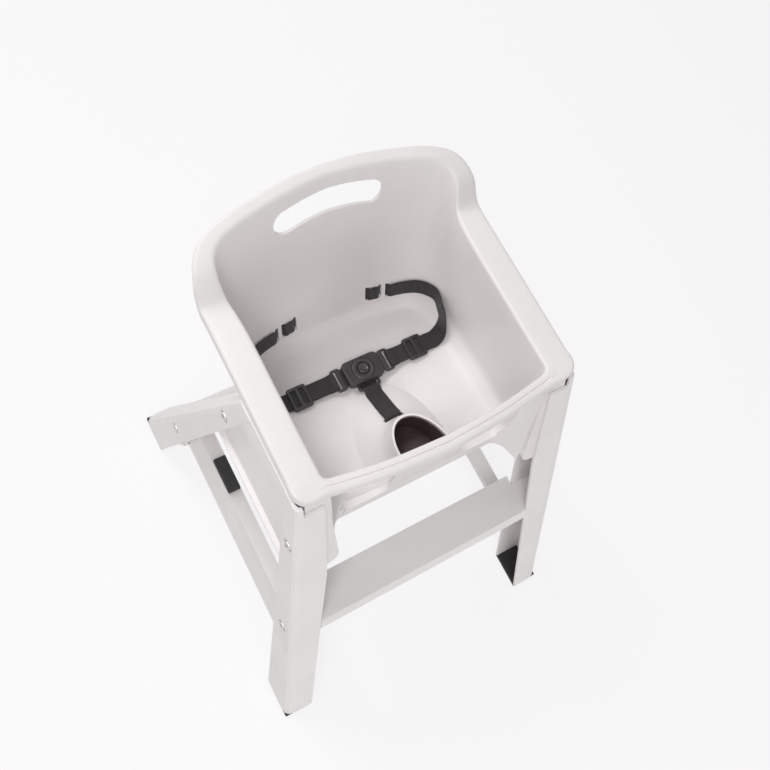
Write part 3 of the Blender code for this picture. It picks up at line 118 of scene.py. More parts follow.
PAN_BORDER_SHARES = (
    (0.0, -0.033, -0.976), (0.46, -0.03, -0.976), (0.737, -0.02, -0.976), (0.79, -0.007, -0.976),
    (0.83, 0.013, -0.976), (0.85, 0.04, -0.976), (0.855, 0.066, -0.976), (0.855, 0.33, -1.0),
    (0.862, 0.507, -1.035), (0.842, 0.562, -1.053), (0.803, 0.60, -1.065), (0.743, 0.634, -1.08),
    (0.67, 0.657, -1.094), (0.58, 0.673, -1.106), (0.395, 0.693, -1.118), (0.197, 0.706, -1.124),
    (0.0, 0.71, -1.124),
)
PAN_MIDDLE_SHARES = (
    0.01, 0.03, 0.05, 0.07, 0.09, 0.12, 0.16, 0.31, 0.45, 0.50, 0.53, 0.56, 0.585, 0.61, 0.635,
    0.655, 0.67,
)
PAN_DISH_SHARE = 0.985
PAN_TILT_SHARE = 0.2
WALL_ROW_SHARES = (0.2, 0.35, 0.5, 0.65, 0.8)
PAN_ROW_SHARES = (0.35, 0.6, 0.8)

# Groove along the front rail, which fades over the key places before its end
GROOVE_SHARES = ((0.40, 0.0), (0.44, 1.0), (0.52, 1.0), (0.56, 0.0))
GROOVE_END = 4.0
GROOVE_FADE = 1.2

# Pommel: a bell from the pan up to a tilted mouth behind the front rail
POMMEL_OUTLINE_SHARES = (
    (1.0, 0.0), (0.998, 0.04), (0.996, 0.08), (0.992, 0.13), (0.985, 0.2), (0.95, 0.38), (0.88, 0.54),
    (0.77, 0.69), (0.62, 0.82), (0.45, 0.915), (0.25, 0.975),
)
POMMEL_LEVEL_SHARES = (
    (0.0, 0.0), (0.2, 0.1), (0.42, 0.22), (0.62, 0.33), (0.78, 0.44), (0.89, 0.56), (0.96, 0.75),
    (1.0, 1.0),
)
POMMEL_FRONT = -0.0236
POMMEL_FOOT_HALF = 0.066
POMMEL_FOOT_BACK = 0.122
POMMEL_MOUTH_HALF = 0.0366
POMMEL_MOUTH_BACK = 0.0465
POMMEL_MOUTH_DROP = 0.095
POMMEL_MOUTH_TILT = 0.39
POMMEL_WALL = 0.0035
POMMEL_STEPS = 2
POMMEL_LOOK_DROP = 0.146
HOLLOW_FRONT = -0.019
HOLLOW_FLOOR_FRONT_DROP = 0.140
HOLLOW_FLOOR_DROP = 0.158

# Inset of the sides, drop of the top and rise of the floor, against the pommel's hollow
HOLLOW_SIZES = (0.0, -0.006, 0.0)
# The dark sheet of painted shade in the pommel's pocket: sizes of its outer and inner faces
PAINTED_SHADE_OUTSIDE_SIZES = (0.0004, 0.0045, 0.0004)
PAINTED_SHADE_INSIDE_SIZES = (0.0016, -0.004, 0.0016)

# Front skirt, corner walls and the lobes in the tops of the legs
SKIRT_HALF = 0.116
SKIRT_FRONT = 0.0255
SKIRT_TOP_DROP = 0.140
SKIRT_FOOT_DROP = 0.192
SKIRT_STEPS = 12
CORNER_WALL_TOP_DROP = 0.008
CORNER_TURN_START = 1.5
CORNER_TOP_SHARES = ((0.72, -0.060), (0.79, -0.058), (0.86, -0.055), (0.93, -0.052), (0.985, -0.050))
CORNER_FOOT_SHARES = ((0.72, -0.088), (0.80, -0.092), (0.875, -0.122), (0.915, -0.170), (0.935, -0.215))
LEG_SPLAY = 0.115
FRONT_RAKE = 0.345
REAR_RAKE = 0.300
FRONT_LEG_START = -0.0141
REAR_LEG_START = 0.090
LEG_TOP_DROP = 0.020
LEG_DEPTH_TOP = 0.028
LEG_DEPTH_FOOT = 0.070
LEG_DEPTH_RATE = (LEG_DEPTH_FOOT - LEG_DEPTH_TOP) / (RIM_HEIGHT - LEG_TOP_DROP)
LEG_WALL = 0.004
LEG_ROUND_SHARE = 0.3
LOBE_TOP_DROP = 0.002
LOBE_FOOT_DROP = 0.184
REAR_LOBE_FOOT_DROP = 0.150
UPPER_BOLT_DROP = 0.115
LOBE_CLEARANCE = 0.0004
LOBE_ROOT = 0.154
LOBE_ROOT_DRAW = 0.0125
LOBE_MIDDLE_DROP = 0.07
LOBE_SHOULDER_SHARE = 0.25
LOBE_FOOT_SHARES = (0.4, 0.7, 0.9, 1.0)
LOBE_ROOT_ROUND_SHARE = 0.35
LOBE_REACH_ROUND_SHARE = 0.2

# Openings
LEG_OPENING_INNER = 0.052
LEG_OPENING_OUTER = 0.126
LEG_OPENING_TOP_DROP = 0.028
LEG_OPENING_FOOT_DROP = 0.147
LEG_OPENING_ROUND = 0.022
LEG_OPENING_STEPS = 8
LEG_OPENING_OVERRUN = 0.012
HAND_SLOT_HALF_LENGTH = 0.074
HAND_SLOT_HEIGHT = 0.036
HAND_SLOT_RISE = 0.028
HAND_SLOT_SAG = 0.006
HAND_SLOT_STEPS = 10
HAND_SLOT_END_TURN = 75
BACK_RAKE = 0.305
SLOT_REACH = 0.022
STRAP_SLOTS = (0.057, 0.075, 0.0865)
STRAP_SLOT_WIDTH = 0.0058
STRAP_SLOT_HEIGHT = 0.0264
STRAP_SLOT_DROP = 0.160
CROTCH_SLOT_BACK = 0.055
CROTCH_SLOT_WIDTH = 0.029
CROTCH_SLOT_LENGTH = 0.005
CROTCH_SLOT_DROP = 0.150
CROTCH_SLOT_REACH = 0.072

# Straps, whose ways are given one by one
WAIST_WALL_SHARES = ((13, 0.93), (12, 0.912), (11, 0.888), (10, 0.865), (9, 0.85))
WAIST_FREE_SHARES = (
    (0.912, 0.560, 0.862, 0.0), (0.900, 0.520, 0.885, 0.2), (0.868, 0.488, 0.925, 0.5),
    (0.822, 0.463, 0.968, 0.85),
)
WAIST_LEVEL_RUN = (
    (0.116, 0.0), (0.105, 0.0), (0.090, 0.0), (0.075, 0.0), (0.062, 0.0), (0.0555, 0.0),
    (0.0505, 0.0014), (0.0475, 0.0026), (0.0440, 0.0028), (0.0415, 0.0022), (0.0402, 0.0),
    (0.0412, -0.0024), (0.0440, -0.0030), (0.0475, -0.0029), (0.0510, -0.0026), (0.0545, -0.0025),
)
CROTCH_START_RUN = (
    (0.1205, 0.1758), (0.1155, 0.1758), (0.1125, 0.1728), (0.1100, 0.1703), (0.1080, 0.1694),
)
CROTCH_RIDGE_BACK = 0.102
CROTCH_RIDGE_STEP = 0.006
CROTCH_RIDGE_COUNT = 8
CROTCH_LOOK_DROP = 0.06
CROTCH_STAND_OFF = 0.0021
CROTCH_LOWEST_DROP = 0.1715
CROTCH_TURN_RUN = ((0.0568, 0.0006), (0.0556, 0.004), (0.0552, 0.012))
CROTCH_END = (0.0550, 0.166)
CROTCH_STEPS = 3
STRAP_CLEARANCE = 0.0006
STRAP_STAND_OFF = 0.0024
STRAP_STEPS = 4
STRAP_TAIL = 0.011
STRAP_TURN = 0.0032
STRAP_END_TURN = 0.0034
STRAP_END_SHARE = 1.3
WALL_LOOK_RISE = 0.025
WEBBING_EDGE_SHARES = (
    (-1.0, 0.0), (-0.97, 0.8), (-0.9, 1.0), (-0.5, 0.92), (0.0, 0.92), (0.5, 0.92), (0.9, 1.0),
    (0.97, 0.8), (1.0, 0.0),
)

# Buckle, with the loop for the crotch strap on its base
BUCKLE_BACK = 0.138
BUCKLE_DROP = 0.168
BUCKLE_LENGTH = 0.056
BUCKLE_WIDTH = 0.036
BUCKLE_CORNER = 0.008
COVER_HEIGHT = 0.006
COVER_GAP = 0.0003
COVER_EDGE = 0.0020
HOUSING_PROFILE = (
    (0.0, 0.0), (0.0168, 0.0), (0.0168, 0.0008), (0.0158, 0.0019), (0.0142, 0.0024),
    (0.0122, 0.0024), (0.0112, 0.0020), (0.0, 0.0020),
)
HOUSING_SINK = 0.0006
BORE_GAP = 0.0004
BORE_START = 0.01
BORE_LENGTH = 0.03
GROOVE_START = 0.0195
GROOVE_PITCH = 0.0022
GROOVE_COUNT = 3
GROOVE_SIZE = (0.0008, 0.020, 0.0010)
GROOVE_SHORTENING = 0.003
BASE_HEIGHT = 0.007
BASE_EDGE = 0.0012
SPRING_BORE_RADIUS = 0.0105
SPRING_BORE_FLOOR = 0.0025
SPRING_BORE_LENGTH = 0.01
TONGUE_OPENING = (0.0275, 0.027, 0.0076)
LOOP_SIZE = (0.034, 0.014, 0.0030)
LOOP_OUT = 0.002
LOOP_RISE = 0.0022
LOOP_CORNER = 0.004
LOOP_EDGE = 0.0009
LOOP_OPENING = (0.0266, 0.0052, 0.02)
LOOP_OPENING_OUT = 0.0038
STRAP_OPENING_CORNER = 0.0012

# Button and the spring under it
BUTTON_RADIUS = 0.009
BUTTON_PROUD = 0.0036
BUTTON_TOP_SHARES = (
    (0.0, 0.0009), (0.30, 0.0008), (0.52, 0.0004), (0.60, 0.0001), (0.66, 0.0), (0.74, 0.0003),
    (0.86, 0.0011), (0.95, 0.0022), (1.0, 0.0036),
)
BUTTON_WALL = 0.002
BUTTON_HOLLOW = 0.003
SPRING_FOOT = 0.0037
SPRING_HEIGHT = 0.0062
SPRING_RADIUS = 0.0045
SPRING_WIRE = 0.0005
SPRING_TURNS = 4
SPRING_STEPS = 20

# Tongues
TONGUE_MIDDLE_DROP = 0.1699
TONGUE_REACH = 0.013
TONGUE_PLATE = (0.026, 0.026, 0.0030)
TONGUE_PLATE_CORNER = 0.0015
TONGUE_PLATE_EDGE = 0.0004
TONGUE_OUTER = 0.045
WING_GAP = 0.0012
WING_WIDTH = 0.0335
WING_HEIGHT = 0.0034
WING_CORNER = 0.0045
WING_EDGE = 0.0010
TONGUE_SLOT = (0.0052, 0.0268, 0.02)
TONGUE_SLOT_INSET = 0.0058

# Sliders
SLIDER_SIZE = (0.028, 0.033, 0.0056)
SLIDER_CORNER = 0.0035
SLIDER_EDGE = 0.0011
SLIDER_BAR = 0.004
SLIDER_PLACES = {1: 0.084, -1: 0.096}
SLIDER_TUNNEL = (0.038, 0.0266, 0.0030)
SLIDER_WINDOW_WIDTH = 0.0245
SLIDER_WINDOW_CORNER = 0.0016
GRIP_INSET = 0.0020
GRIP_PITCH = 0.0009
GRIP_SIZE = (0.0004, 0.019, 0.0006)

# Rounds of the harness's hard pieces
CORNER_SEGMENTS = 5
EDGE_SEGMENTS = 3
SHARP_EDGE_ANGLE = 1.0

# Bolts, whose heads are drawn in shares of their radius and height
BOLT_HEAD_RADIUS = 0.0065
BOLT_HEAD_HEIGHT = 0.0028
BOLT_HEAD_SHARES = (
    (0.0, 0.0), (0.62, 0.0), (0.74, -0.06), (0.86, -0.22), (0.96, -0.5), (1.0, -0.8), (1.0, -1.0),
)
BOLT_RADIUS = 0.003
BOLT_CHAMFER = 0.0006
BOLT_SIDES = 32
SOCKET_RADIUS = 0.0025
SOCKET_DEPTH = 0.0017
SOCKET_OVERRUN = 0.002
SOCKET_SIDES = 6
HEAD_SHARE = 0.9

# Patterns of the finishes
CLOUD_SIZE = 0.09
SPECK_SHARE = 0.45
SCUFF_SIZE = 0.05
SCUFF_TURN = (0.3, 0.2, 0.7)
SCUFF_STRETCH = (1.0, 14.0, 6.0)
GRAIN_DEPTH_SHARE = 0.10
RUBBER_GRAIN = 0.0008
RUBBER_GRAIN_DEPTH = 0.0002
DUST_SIZE = 0.02
DUST_COLOUR = (0.12, 0.115, 0.11)
# Paler patches and grain of the dark sheet of painted shade in the pommel's pocket
PALER_PATCH_SIZE = 0.012
PAINTED_SHADE_GRAIN = 0.0009
PAINTED_SHADE_GRAIN_DEPTH = 0.00015
BUCKLE_GRAIN = 0.0006
BUCKLE_GRAIN_DEPTH = 0.00012
BUCKLE_WEAR_SIZE = 0.006
DULL_PATCH_SIZE = 0.004
TURNING_MARK_SIZE = 0.0006
TURNING_MARK_DEPTH = 0.00006
SLANT_WIDTH = 0.0042
RIB_PITCH = 0.0013
WARP_PITCH = 0.00105
WEAVE_DEPTH = 0.0004
FUZZ_SIZE = 0.0005
STRAP_WEAR_SIZE = 0.015
LINT_COLOUR = (0.07, 0.062, 0.06)
TUB_ROUGHNESS = 0.42
FRAME_ROUGHNESS = 0.38
BUCKLE_ROUGHNESS = 0.34
BUTTON_ROUGHNESS = 0.24

# Softboxes: name, place, point that each is turned to, diameter and the setting of its power
SOFTBOXES = (
    ("key_light", (-0.55, 1.50, 2.45), (0.0, -0.05, 0.5), 1.0, "key_power"),
    ("front_light", (-0.4, -2.3, 0.72), (0.0, -0.1, 0.34), 1.1, "fill_power"),
    ("top_light", (-0.85, -0.55, 2.5), (0.0, -0.1, 0.4), 1.0, "top_power"),
)
WARM_WHITE = (1.0, 0.995, 0.995, 1.0)
SKY_COLOUR = (1.0, 0.995, 0.99, 1.0)
PLAIN_WHITE = (1.0, 1.0, 1.0, 1.0)
FLOOR_ROUGHNESS = 0.85
SENSOR_WIDTH = 36.0


class Value:
    """A node socket with the arithmetic of shader maths."""

    def __init__(self, nodes, socket):
        self.nodes = nodes
        self.socket = socket

    def output(self, name):
        """Another output of the same node."""
        return Value(self.nodes, self.socket.node.outputs[name])

    def _math(self, operation, first, second=None):
        links = {0: first}
        if second is not None:
            links[1] = second
        return self.nodes.node("ShaderNodeMath", {"operation": operation}, links)

    def __add__(self, other):
        return self._math("ADD", self, other)

    def __radd__(self, other):
        return self._math("ADD", other, self)

    def __sub__(self, other):
        return self._math("SUBTRACT", self, other)

    def __rsub__(self, other):
        return self._math("SUBTRACT", other, self)

    def __mul__(self, other):
        return self._math("MULTIPLY", self, other)

    def __rmul__(self, other):
        return self._math("MULTIPLY", other, self)

    def sine(self):
        return self._math("SINE", self)

    def fraction(self):
        return self._math("FRACT", self)

    def absolute(self):
        return self._math("ABSOLUTE", self)

    def highest(self, other):
        return self._math("MAXIMUM", self, other)


class Nodes:
    """A node tree whose nodes are made by one method."""

    def __init__(self, tree):
        self.tree = tree

    def node(self, kind, settings=None, inputs=None, output=0):
        made = self.tree.nodes.new(kind)
        for key, value in (settings or {}).items():
            setattr(made, key, value)
        for key, value in (inputs or {}).items():
            self.fill(made.inputs[key], value)
        return Value(self, made.outputs[output])

    def fill(self, socket, value):
        if isinstance(value, Value):
            self.tree.links.new(value.socket, socket)
        else:
            socket.default_value = value

    def first_output(self, name):
        return Value(self, self.tree.nodes[name].outputs[0])

    def white_where_seen(self, shader, white, share, end):
        """The white shader to the eye and in reflections, by a share, and the other one elsewhere."""
        path = self.node("ShaderNodeLightPath")
        seen = path.output("Is Camera Ray")
        for kind in ("Is Glossy Ray", "Is Transmission Ray"):
            seen = seen.highest(path.output(kind))
        mixed = self.node("ShaderNodeMixShader", inputs={0: seen * share, 1: shader, 2: white})
        self.fill(self.tree.nodes[end].inputs["Surface"], mixed)


class Finish(Nodes):
    """The nodes of a new material, with the patterns that the finishes share."""

    def __init__(self, name):
        self.material = bpy.data.materials.new(name)
        self.material.use_nodes = True
        super().__init__(self.material.node_tree)
        self.shader = self.tree.nodes["Principled BSDF"]

    def feed(self, name, value):
        self.fill(self.shader.inputs[name], value)

    def place(self, output="Object"):
        """The piece's own coordinates, in metres, or its UV map."""
        return self.node("ShaderNodeTexCoord", output=output)

    def noise(self, place, size, detail, rough=0.5):
        """Grey noise whose patches are about the given size."""
        inputs = {"Vector": place, "Scale": 1.0 / size, "Detail": detail, "Roughness": rough}
        return self.node("ShaderNodeTexNoise", inputs=inputs, output="Fac")

    def spread(self, value, low, high):
        """The value stretched so that low becomes 0 and high becomes 1."""
        inputs = {"Value": value, "From Min": low, "From Max": high}
        return self.node("ShaderNodeMapRange", {"clamp": True}, inputs)

    def blend(self, share, first, second):
        """Two colours mixed by a share, where the first may be a blend itself."""
        under = first if isinstance(first, Value) else (*first, 1.0)
        inputs = {0: share, 6: under, 7: (*second, 1.0)}
        return self.node("ShaderNodeMix", {"data_type": "RGBA"}, inputs, 2)

    def bump(self, height, depth, strength):
        inputs = {"Height": height, "Distance": depth, "Strength": strength}
        self.feed("Normal", self.node("ShaderNodeBump", inputs=inputs))


def toned(colour, factor):
    return tuple(part * factor for part in colour)


def moulded_plastic(name, colour, shade, roughness, grain):
    """Fine-grained moulded polypropylene with faint flow marks and scuffs."""
    finish = Finish(name)
    place = finish.place()
    cloud = finish.spread(finish.noise(place, CLOUD_SIZE, detail=4.0), low=0.35, high=0.65)
    fine = finish.noise(place, grain, detail=2.0, rough=0.6)
    speck = finish.noise(place, grain * SPECK_SHARE, detail=1.0)
    inputs = {"Vector": place, "Rotation": SCUFF_TURN, "Scale": SCUFF_STRETCH}
    stretched = finish.node("ShaderNodeMapping", inputs=inputs)
    streak = finish.spread(finish.noise(stretched, SCUFF_SIZE, detail=5.0, rough=0.7), low=0.60, high=0.72)
    patch = finish.spread(finish.noise(place, SCUFF_SIZE, detail=2.0), low=0.50, high=0.62)
    scuff = streak * patch
    base = finish.blend(cloud, colour, shade)
    finish.feed("Base Color", finish.blend(scuff * 0.10, base, toned(colour, 0.72)))
    finish.feed("Roughness", roughness + (cloud - 0.5) * 0.05 + (fine - 0.5) * 0.10 + scuff * 0.12)
    finish.bump(fine + speck * 0.5, grain * GRAIN_DEPTH_SHARE, strength=0.35)
    finish.feed("Specular IOR Level", 0.45)
    return finish.material


def moulded_rubber(name, colour):
    """Black rubber with a dull skin and pale dust in its grain."""
    finish = Finish(name)
    place = finish.place()
    grain = finish.noise(place, RUBBER_GRAIN, detail=3.0, rough=0.6)
    dust = finish.spread(finish.noise(place, DUST_SIZE, detail=4.0), low=0.52, high=0.75)
    finish.feed("Base Color", finish.blend(dust * 0.25, colour, DUST_COLOUR))
    finish.feed("Roughness", 0.62 + dust * 0.2 + (grain - 0.5) * 0.1)
    finish.bump(grain, RUBBER_GRAIN_DEPTH, strength=0.4)
    return finish.material


def dark_painted_shade(name, colour):
    """Painted shade: soft reddish-brown plastic for the sheet that stands for the deep shade in the
    pommel's pocket, a little paler in random patches.
    """
    finish = Finish(name)
    place = finish.place()
    paler_patch = finish.spread(finish.noise(place, PALER_PATCH_SIZE, detail=4.0, rough=0.6), low=0.45, high=0.75)
    grain = finish.noise(place, PAINTED_SHADE_GRAIN, detail=2.0, rough=0.6)
    # Painted shade: a dark colour for the deep shade in the pocket, paler in random patches
    finish.feed("Base Color", finish.blend(paler_patch * 0.5, colour, toned(colour, 1.6)))
    finish.feed("Roughness", 0.5 + (grain - 0.5) * 0.15 + paler_patch * 0.1)
    finish.bump(grain, PAINTED_SHADE_GRAIN_DEPTH, strength=0.4)
    return finish.material


def black_plastic(name, colour, roughness):
    """Injection-moulded black plastic with a fine spark-eroded grain and worn, paler high spots."""
    finish = Finish(name)
    place = finish.place()
    grain = finish.noise(place, BUCKLE_GRAIN, detail=2.0, rough=0.6)
    wear = finish.spread(finish.noise(place, BUCKLE_WEAR_SIZE, detail=5.0, rough=0.65), low=0.58, high=0.8)
    finish.feed("Base Color", finish.blend(wear * 0.3, colour, toned(colour, 2.2)))
    finish.feed("Roughness", roughness + (grain - 0.5) * 0.12 + wear * 0.15)
    finish.bump(grain, BUCKLE_GRAIN_DEPTH, strength=0.4)
    return finish.material


def plated_steel(name, colour):
    """Zinc-plated steel with turning marks and dull patches."""
    finish = Finish(name)
    place = finish.place()
    dull = finish.spread(finish.noise(place, DULL_PATCH_SIZE, detail=4.0, rough=0.6), low=0.4, high=0.7)
    marks = finish.noise(place, TURNING_MARK_SIZE, detail=2.0)
    finish.feed("Base Color", finish.blend(dull * 0.5, colour, toned(colour, 0.7)))
    finish.feed("Roughness", 0.26 + dull * 0.16)
    finish.bump(marks, TURNING_MARK_DEPTH, strength=0.3)
    finish.feed("Metallic", 1.0)
    return finish.material


def woven_webbing(name, colour):
    """Black webbing with ribs that slant to and fro across it, dull with a faint sheen; its colour carries
    painted light and shade, paler on the ribs and darker between them.
    """
    finish = Finish(name)
    apart = finish.node("ShaderNodeSeparateXYZ", inputs={0: finish.place("UV")})
    across, along = apart.output("X"), apart.output("Y")
    slant = ((across * (1.0 / SLANT_WIDTH)).fraction() - 0.5).absolute() * 2.0
    rib = ((along * (1.0 / RIB_PITCH) + slant) * (2.0 * math.pi)).sine() * 0.5 + 0.5
    warp = (across * (2.0 * math.pi / WARP_PITCH)).sine() * 0.5 + 0.5
    weave = rib * 0.65 + warp * 0.35
    fuzz = finish.noise(finish.place(), FUZZ_SIZE, detail=2.0, rough=0.6)
    wear = finish.spread(finish.noise(finish.place(), STRAP_WEAR_SIZE, detail=4.0), low=0.45, high=0.7)
    # Painted light and shade: the colour follows the weave's heights, paler on the ribs and darker in the
    # hollows between them
    painted_weave_shading = finish.spread(weave + (fuzz - 0.5) * 0.4, low=0.25, high=0.95)
    base = finish.blend(painted_weave_shading, toned(colour, 0.45), toned(colour, 1.5))
    finish.feed("Base Color", finish.blend(wear * 0.08, base, LINT_COLOUR))
    finish.feed("Roughness", 0.62 + (fuzz - 0.5) * 0.2)
    finish.bump(weave + (fuzz - 0.5) * 0.3, WEAVE_DEPTH, strength=0.8)
    finish.feed("Sheen Weight", 0.15)
    finish.feed("Sheen Roughness", 0.5)
    return finish.material


class StageSettings(bpy.types.PropertyGroup):
    floor_size: bpy.props.FloatProperty(
        name="Floor size", description="Side of the square floor", default=60.0, unit="LENGTH",
    )
    floor_colour: bpy.props.FloatVectorProperty(
        name="Floor", description="Colour of the floor", default=(0.86, 0.85, 0.85), subtype="COLOR",
    )
    floor_glow: bpy.props.FloatProperty(
        name="Floor glow", description="Share of plain white in the floor as it is seen",
        default=0.80, subtype="FACTOR",
    )
    camera_place: bpy.props.FloatVectorProperty(
        name="Camera", description="Place of the camera",
        default=(-0.3294, -0.2003, 1.5386), subtype="TRANSLATION",
    )
    camera_aim: bpy.props.FloatVectorProperty(
        name="Aim", description="Point that the camera looks at",
        default=(0.0187, 0.0479, 0.5), subtype="TRANSLATION",
    )
    camera_roll: bpy.props.FloatProperty(
        name="Roll", description="Turn of the camera about its view",
        default=math.radians(27.906), subtype="ANGLE",
    )
    lens: bpy.props.FloatProperty(
        name="Lens", description="Focal length in millimetres", default=38.18,
    )
    key_power: bpy.props.FloatProperty(
        name="Key light", description="Power of the main softbox in watts", default=27.0,
    )
    fill_power: bpy.props.FloatProperty(
        name="Fill light", description="Power of the low front softbox in watts", default=12.0,
    )
    top_power: bpy.props.FloatProperty(
        name="Top light", description="Power of the softbox above the front in watts", default=17.0,
    )
    sky_strength: bpy.props.FloatProperty(
        name="Sky", description="Strength of the even light all round", default=0.36,
    )


class PlasticSettings(bpy.types.PropertyGroup):
    # Painted shade: the tub's colours are set a little darker than the frame's, though both are one
    # plastic, so that the tub's inner walls look more shaded
    shaded_tub_colour: bpy.props.FloatVectorProperty(
        name="Tub", description="Colour of the tub", default=(0.80, 0.765, 0.765), subtype="COLOR",
    )
    tub_shade: bpy.props.FloatVectorProperty(
        name="Tub shade", description="Slightly deeper tone of the tub's plastic",
        default=(0.775, 0.738, 0.74), subtype="COLOR",
    )
    frame_colour: bpy.props.FloatVectorProperty(
        name="Frame", description="Colour of the frames, footrest and rails",
        default=(0.83, 0.80, 0.80), subtype="COLOR",
    )
    frame_shade: bpy.props.FloatVectorProperty(
        name="Frame shade", description="Slightly deeper tone of the frame's plastic",
        default=(0.80, 0.77, 0.77), subtype="COLOR",
    )
    rubber_colour: bpy.props.FloatVectorProperty(
        name="Rubber", description="Colour of the pads", default=(0.012, 0.011, 0.012), subtype="COLOR",
    )
    # Painted shade: the dark colour of the sheet that stands for the deep shade in the pommel's pocket
    painted_shade_colour: bpy.props.FloatVectorProperty(
        name="Painted pocket shade", description="Colour of the painted shade in the pommel's pocket",
        default=(0.075, 0.045, 0.050), subtype="COLOR",
    )
    steel_colour: bpy.props.FloatVectorProperty(
        name="Steel", description="Colour of the bolts", default=(0.60, 0.585, 0.57), subtype="COLOR",
    )
    grain: bpy.props.FloatProperty(
        name="Grain", description="Size of the moulded grain", default=0.0011, unit="LENGTH",
    )


class TubSettings(bpy.types.PropertyGroup):
    rim_round: bpy.props.FloatProperty(
        name="Rim round", description="Radius of the rim's edges", default=0.0055, unit="LENGTH",
    )
    groove_depth: bpy.props.FloatProperty(
        name="Groove", description="Depth of the groove along the front rail",
        default=0.0012, unit="LENGTH",
    )


class HarnessSettings(bpy.types.PropertyGroup):
    webbing_width: bpy.props.FloatProperty(
        name="Webbing width", description="Width of the straps", default=0.025, unit="LENGTH",
    )
    webbing_thickness: bpy.props.FloatProperty(
        name="Webbing thickness", description="Thickness of the straps", default=0.0016, unit="LENGTH",
    )
    button_colour: bpy.props.FloatVectorProperty(
        name="Button", description="Colour of the release button",
        default=(0.032, 0.028, 0.029), subtype="COLOR",
    )
    webbing_colour: bpy.props.FloatVectorProperty(
        name="Webbing", description="Colour of the webbing",
        default=(0.0145, 0.0115, 0.0115), subtype="COLOR",
    )
    buckle_colour: bpy.props.FloatVectorProperty(
        name="Buckle", description="Colour of the buckle's plastic",
        default=(0.026, 0.023, 0.024), subtype="COLOR",
    )


SETTINGS = {
    "high_chair_stage": StageSettings, "high_chair_tub": TubSettings,
    "high_chair_plastic": PlasticSettings, "high_chair_harness": HarnessSettings,
}


def nodes_named(*starts):
    return [obj for name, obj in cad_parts.items() if name.startswith(starts)]


def dress(objects, material):
    for obj in objects:
        obj.data.materials.clear()
        obj.data.materials.append(material)


def deselect():
    bpy.ops.object.select_all(action="DESELECT")


def drop_z(drop):
    return RIM_HEIGHT - drop


def back_y(back):
    return TUB_FRONT + back


def side_name(side):
    return "right" if side > 0 else "left"


def clamped(value):
    return min(max(value, 0.0), 1.0)


def through_keys(keys, steps):
    """A smooth line through key points, with the same steps between each pair."""
    line = []
    for index in range(len(keys) - 1):
        start, end = keys[index], keys[index + 1]
        before, after = keys[max(index - 1, 0)], keys[min(index + 2, len(keys) - 1)]
        length = (end - start).length
        pull_start = (end - before).normalized() * length
        pull_end = (after - start).normalized() * length
        for step in range(steps):
            t = step / steps
            line.append(
                start * (2 * t**3 - 3 * t**2 + 1) + pull_start * (t**3 - 2 * t**2 + t)
                + end * (3 * t**2 - 2 * t**3) + pull_end * (t**3 - t**2)
            )
    line.append(keys[-1])
    return line


def ring(shares, half_width, height):
    keys = [
        Vector((across * half_width, back_y(along * TUB_LENGTH), RIM_HEIGHT + up * height))
        for across, along, up in shares
    ]
    line = through_keys(keys, RING_STEPS)
    line[0].x = 0.0
    line[-1].x = 0.0
    return line


def pan_middle():
    keys = []
    for share in PAN_MIDDLE_SHARES:
        drop = SEAT_DEPTH * (PAN_DISH_SHARE + PAN_TILT_SHARE * share)
        keys.append(Vector((0.0, back_y(share * TUB_LENGTH), drop_z(drop))))
    return through_keys(keys, RING_STEPS)


def rounded(before, corner, after, radius, steps):
    """Points that take a corner round, from one straight run into the next."""
    start, end = [
        corner + (other - corner).normalized() * min(radius, (other - corner).length * ROUND_LIMIT_SHARE)
        for other in (before, after)
    ]
    points = []
    for step in range(steps + 1):
        share = step / steps
        points.append(
            start * (1 - share) ** 2 + corner * (2 * share * (1 - share)) + end * share**2
        )
    return points


def tub_column(outer, inner, foot, border, middle, groove, settings):
    """One line over the tub, from the foot of its lip over the rim and down to the middle of the pan."""
    lip = outer + Vector((0.0, 0.0, -LIP_DROP))
    points = [lip]
    points += rounded(lip, outer, inner, settings.rim_round, RIM_STEPS)
    for share, depth in GROOVE_SHARES:
        points.append(outer.lerp(inner, share) + Vector((0.0, 0.0, -depth * groove)))
    points += rounded(outer, inner, foot, settings.rim_round, RIM_STEPS)
    points += [inner.lerp(foot, share) for share in WALL_ROW_SHARES]
    points += rounded(inner, foot, border, WALL_FOOT_ROUND, PAN_STEPS)
    points += rounded(foot, border, middle, PAN_ROUND, PAN_STEPS)
    points += [border.lerp(middle, share) for share in PAN_ROW_SHARES]
    points.append(middle)
    return points


def tub_rows(settings):
    """The upper face of half the tub, as rows from the foot of the lip to the middle of the pan."""
    outer = ring(OUTER_EDGE_SHARES, ARM_OUTER_HALF, BACK_RISE)
    inner = ring(INNER_EDGE_SHARES, ARM_INNER_HALF, BACK_RISE)
    foot = ring(WALL_FOOT_SHARES, ARM_INNER_HALF, SEAT_DEPTH)
    border = ring(PAN_BORDER_SHARES, ARM_INNER_HALF, SEAT_DEPTH)
    columns = []
    for index, places in enumerate(zip(outer, inner, foot, border, pan_middle())):
        fade = clamped((GROOVE_END - index / RING_STEPS) / GROOVE_FADE)
        columns.append(tub_column(*places, settings.groove_depth * fade, settings))
    return [list(row) for row in zip(*columns)]


def mesh_from(name, points, faces):
    mesh = bpy.data.meshes.new(name)
    mesh.from_pydata([tuple(point) for point in points], [], faces)
    mesh.validate()
    return mesh


def strip_surface(name, rows):
    count = len(rows[0])
    points = [point for row in rows for point in row]
    faces = []
    for level in range(len(rows) - 1):
        for index in range(count - 1):
            start = level * count + index
            faces.append((start, start + 1, start + count + 1, start + count))
    return mesh_from(name, points, faces)


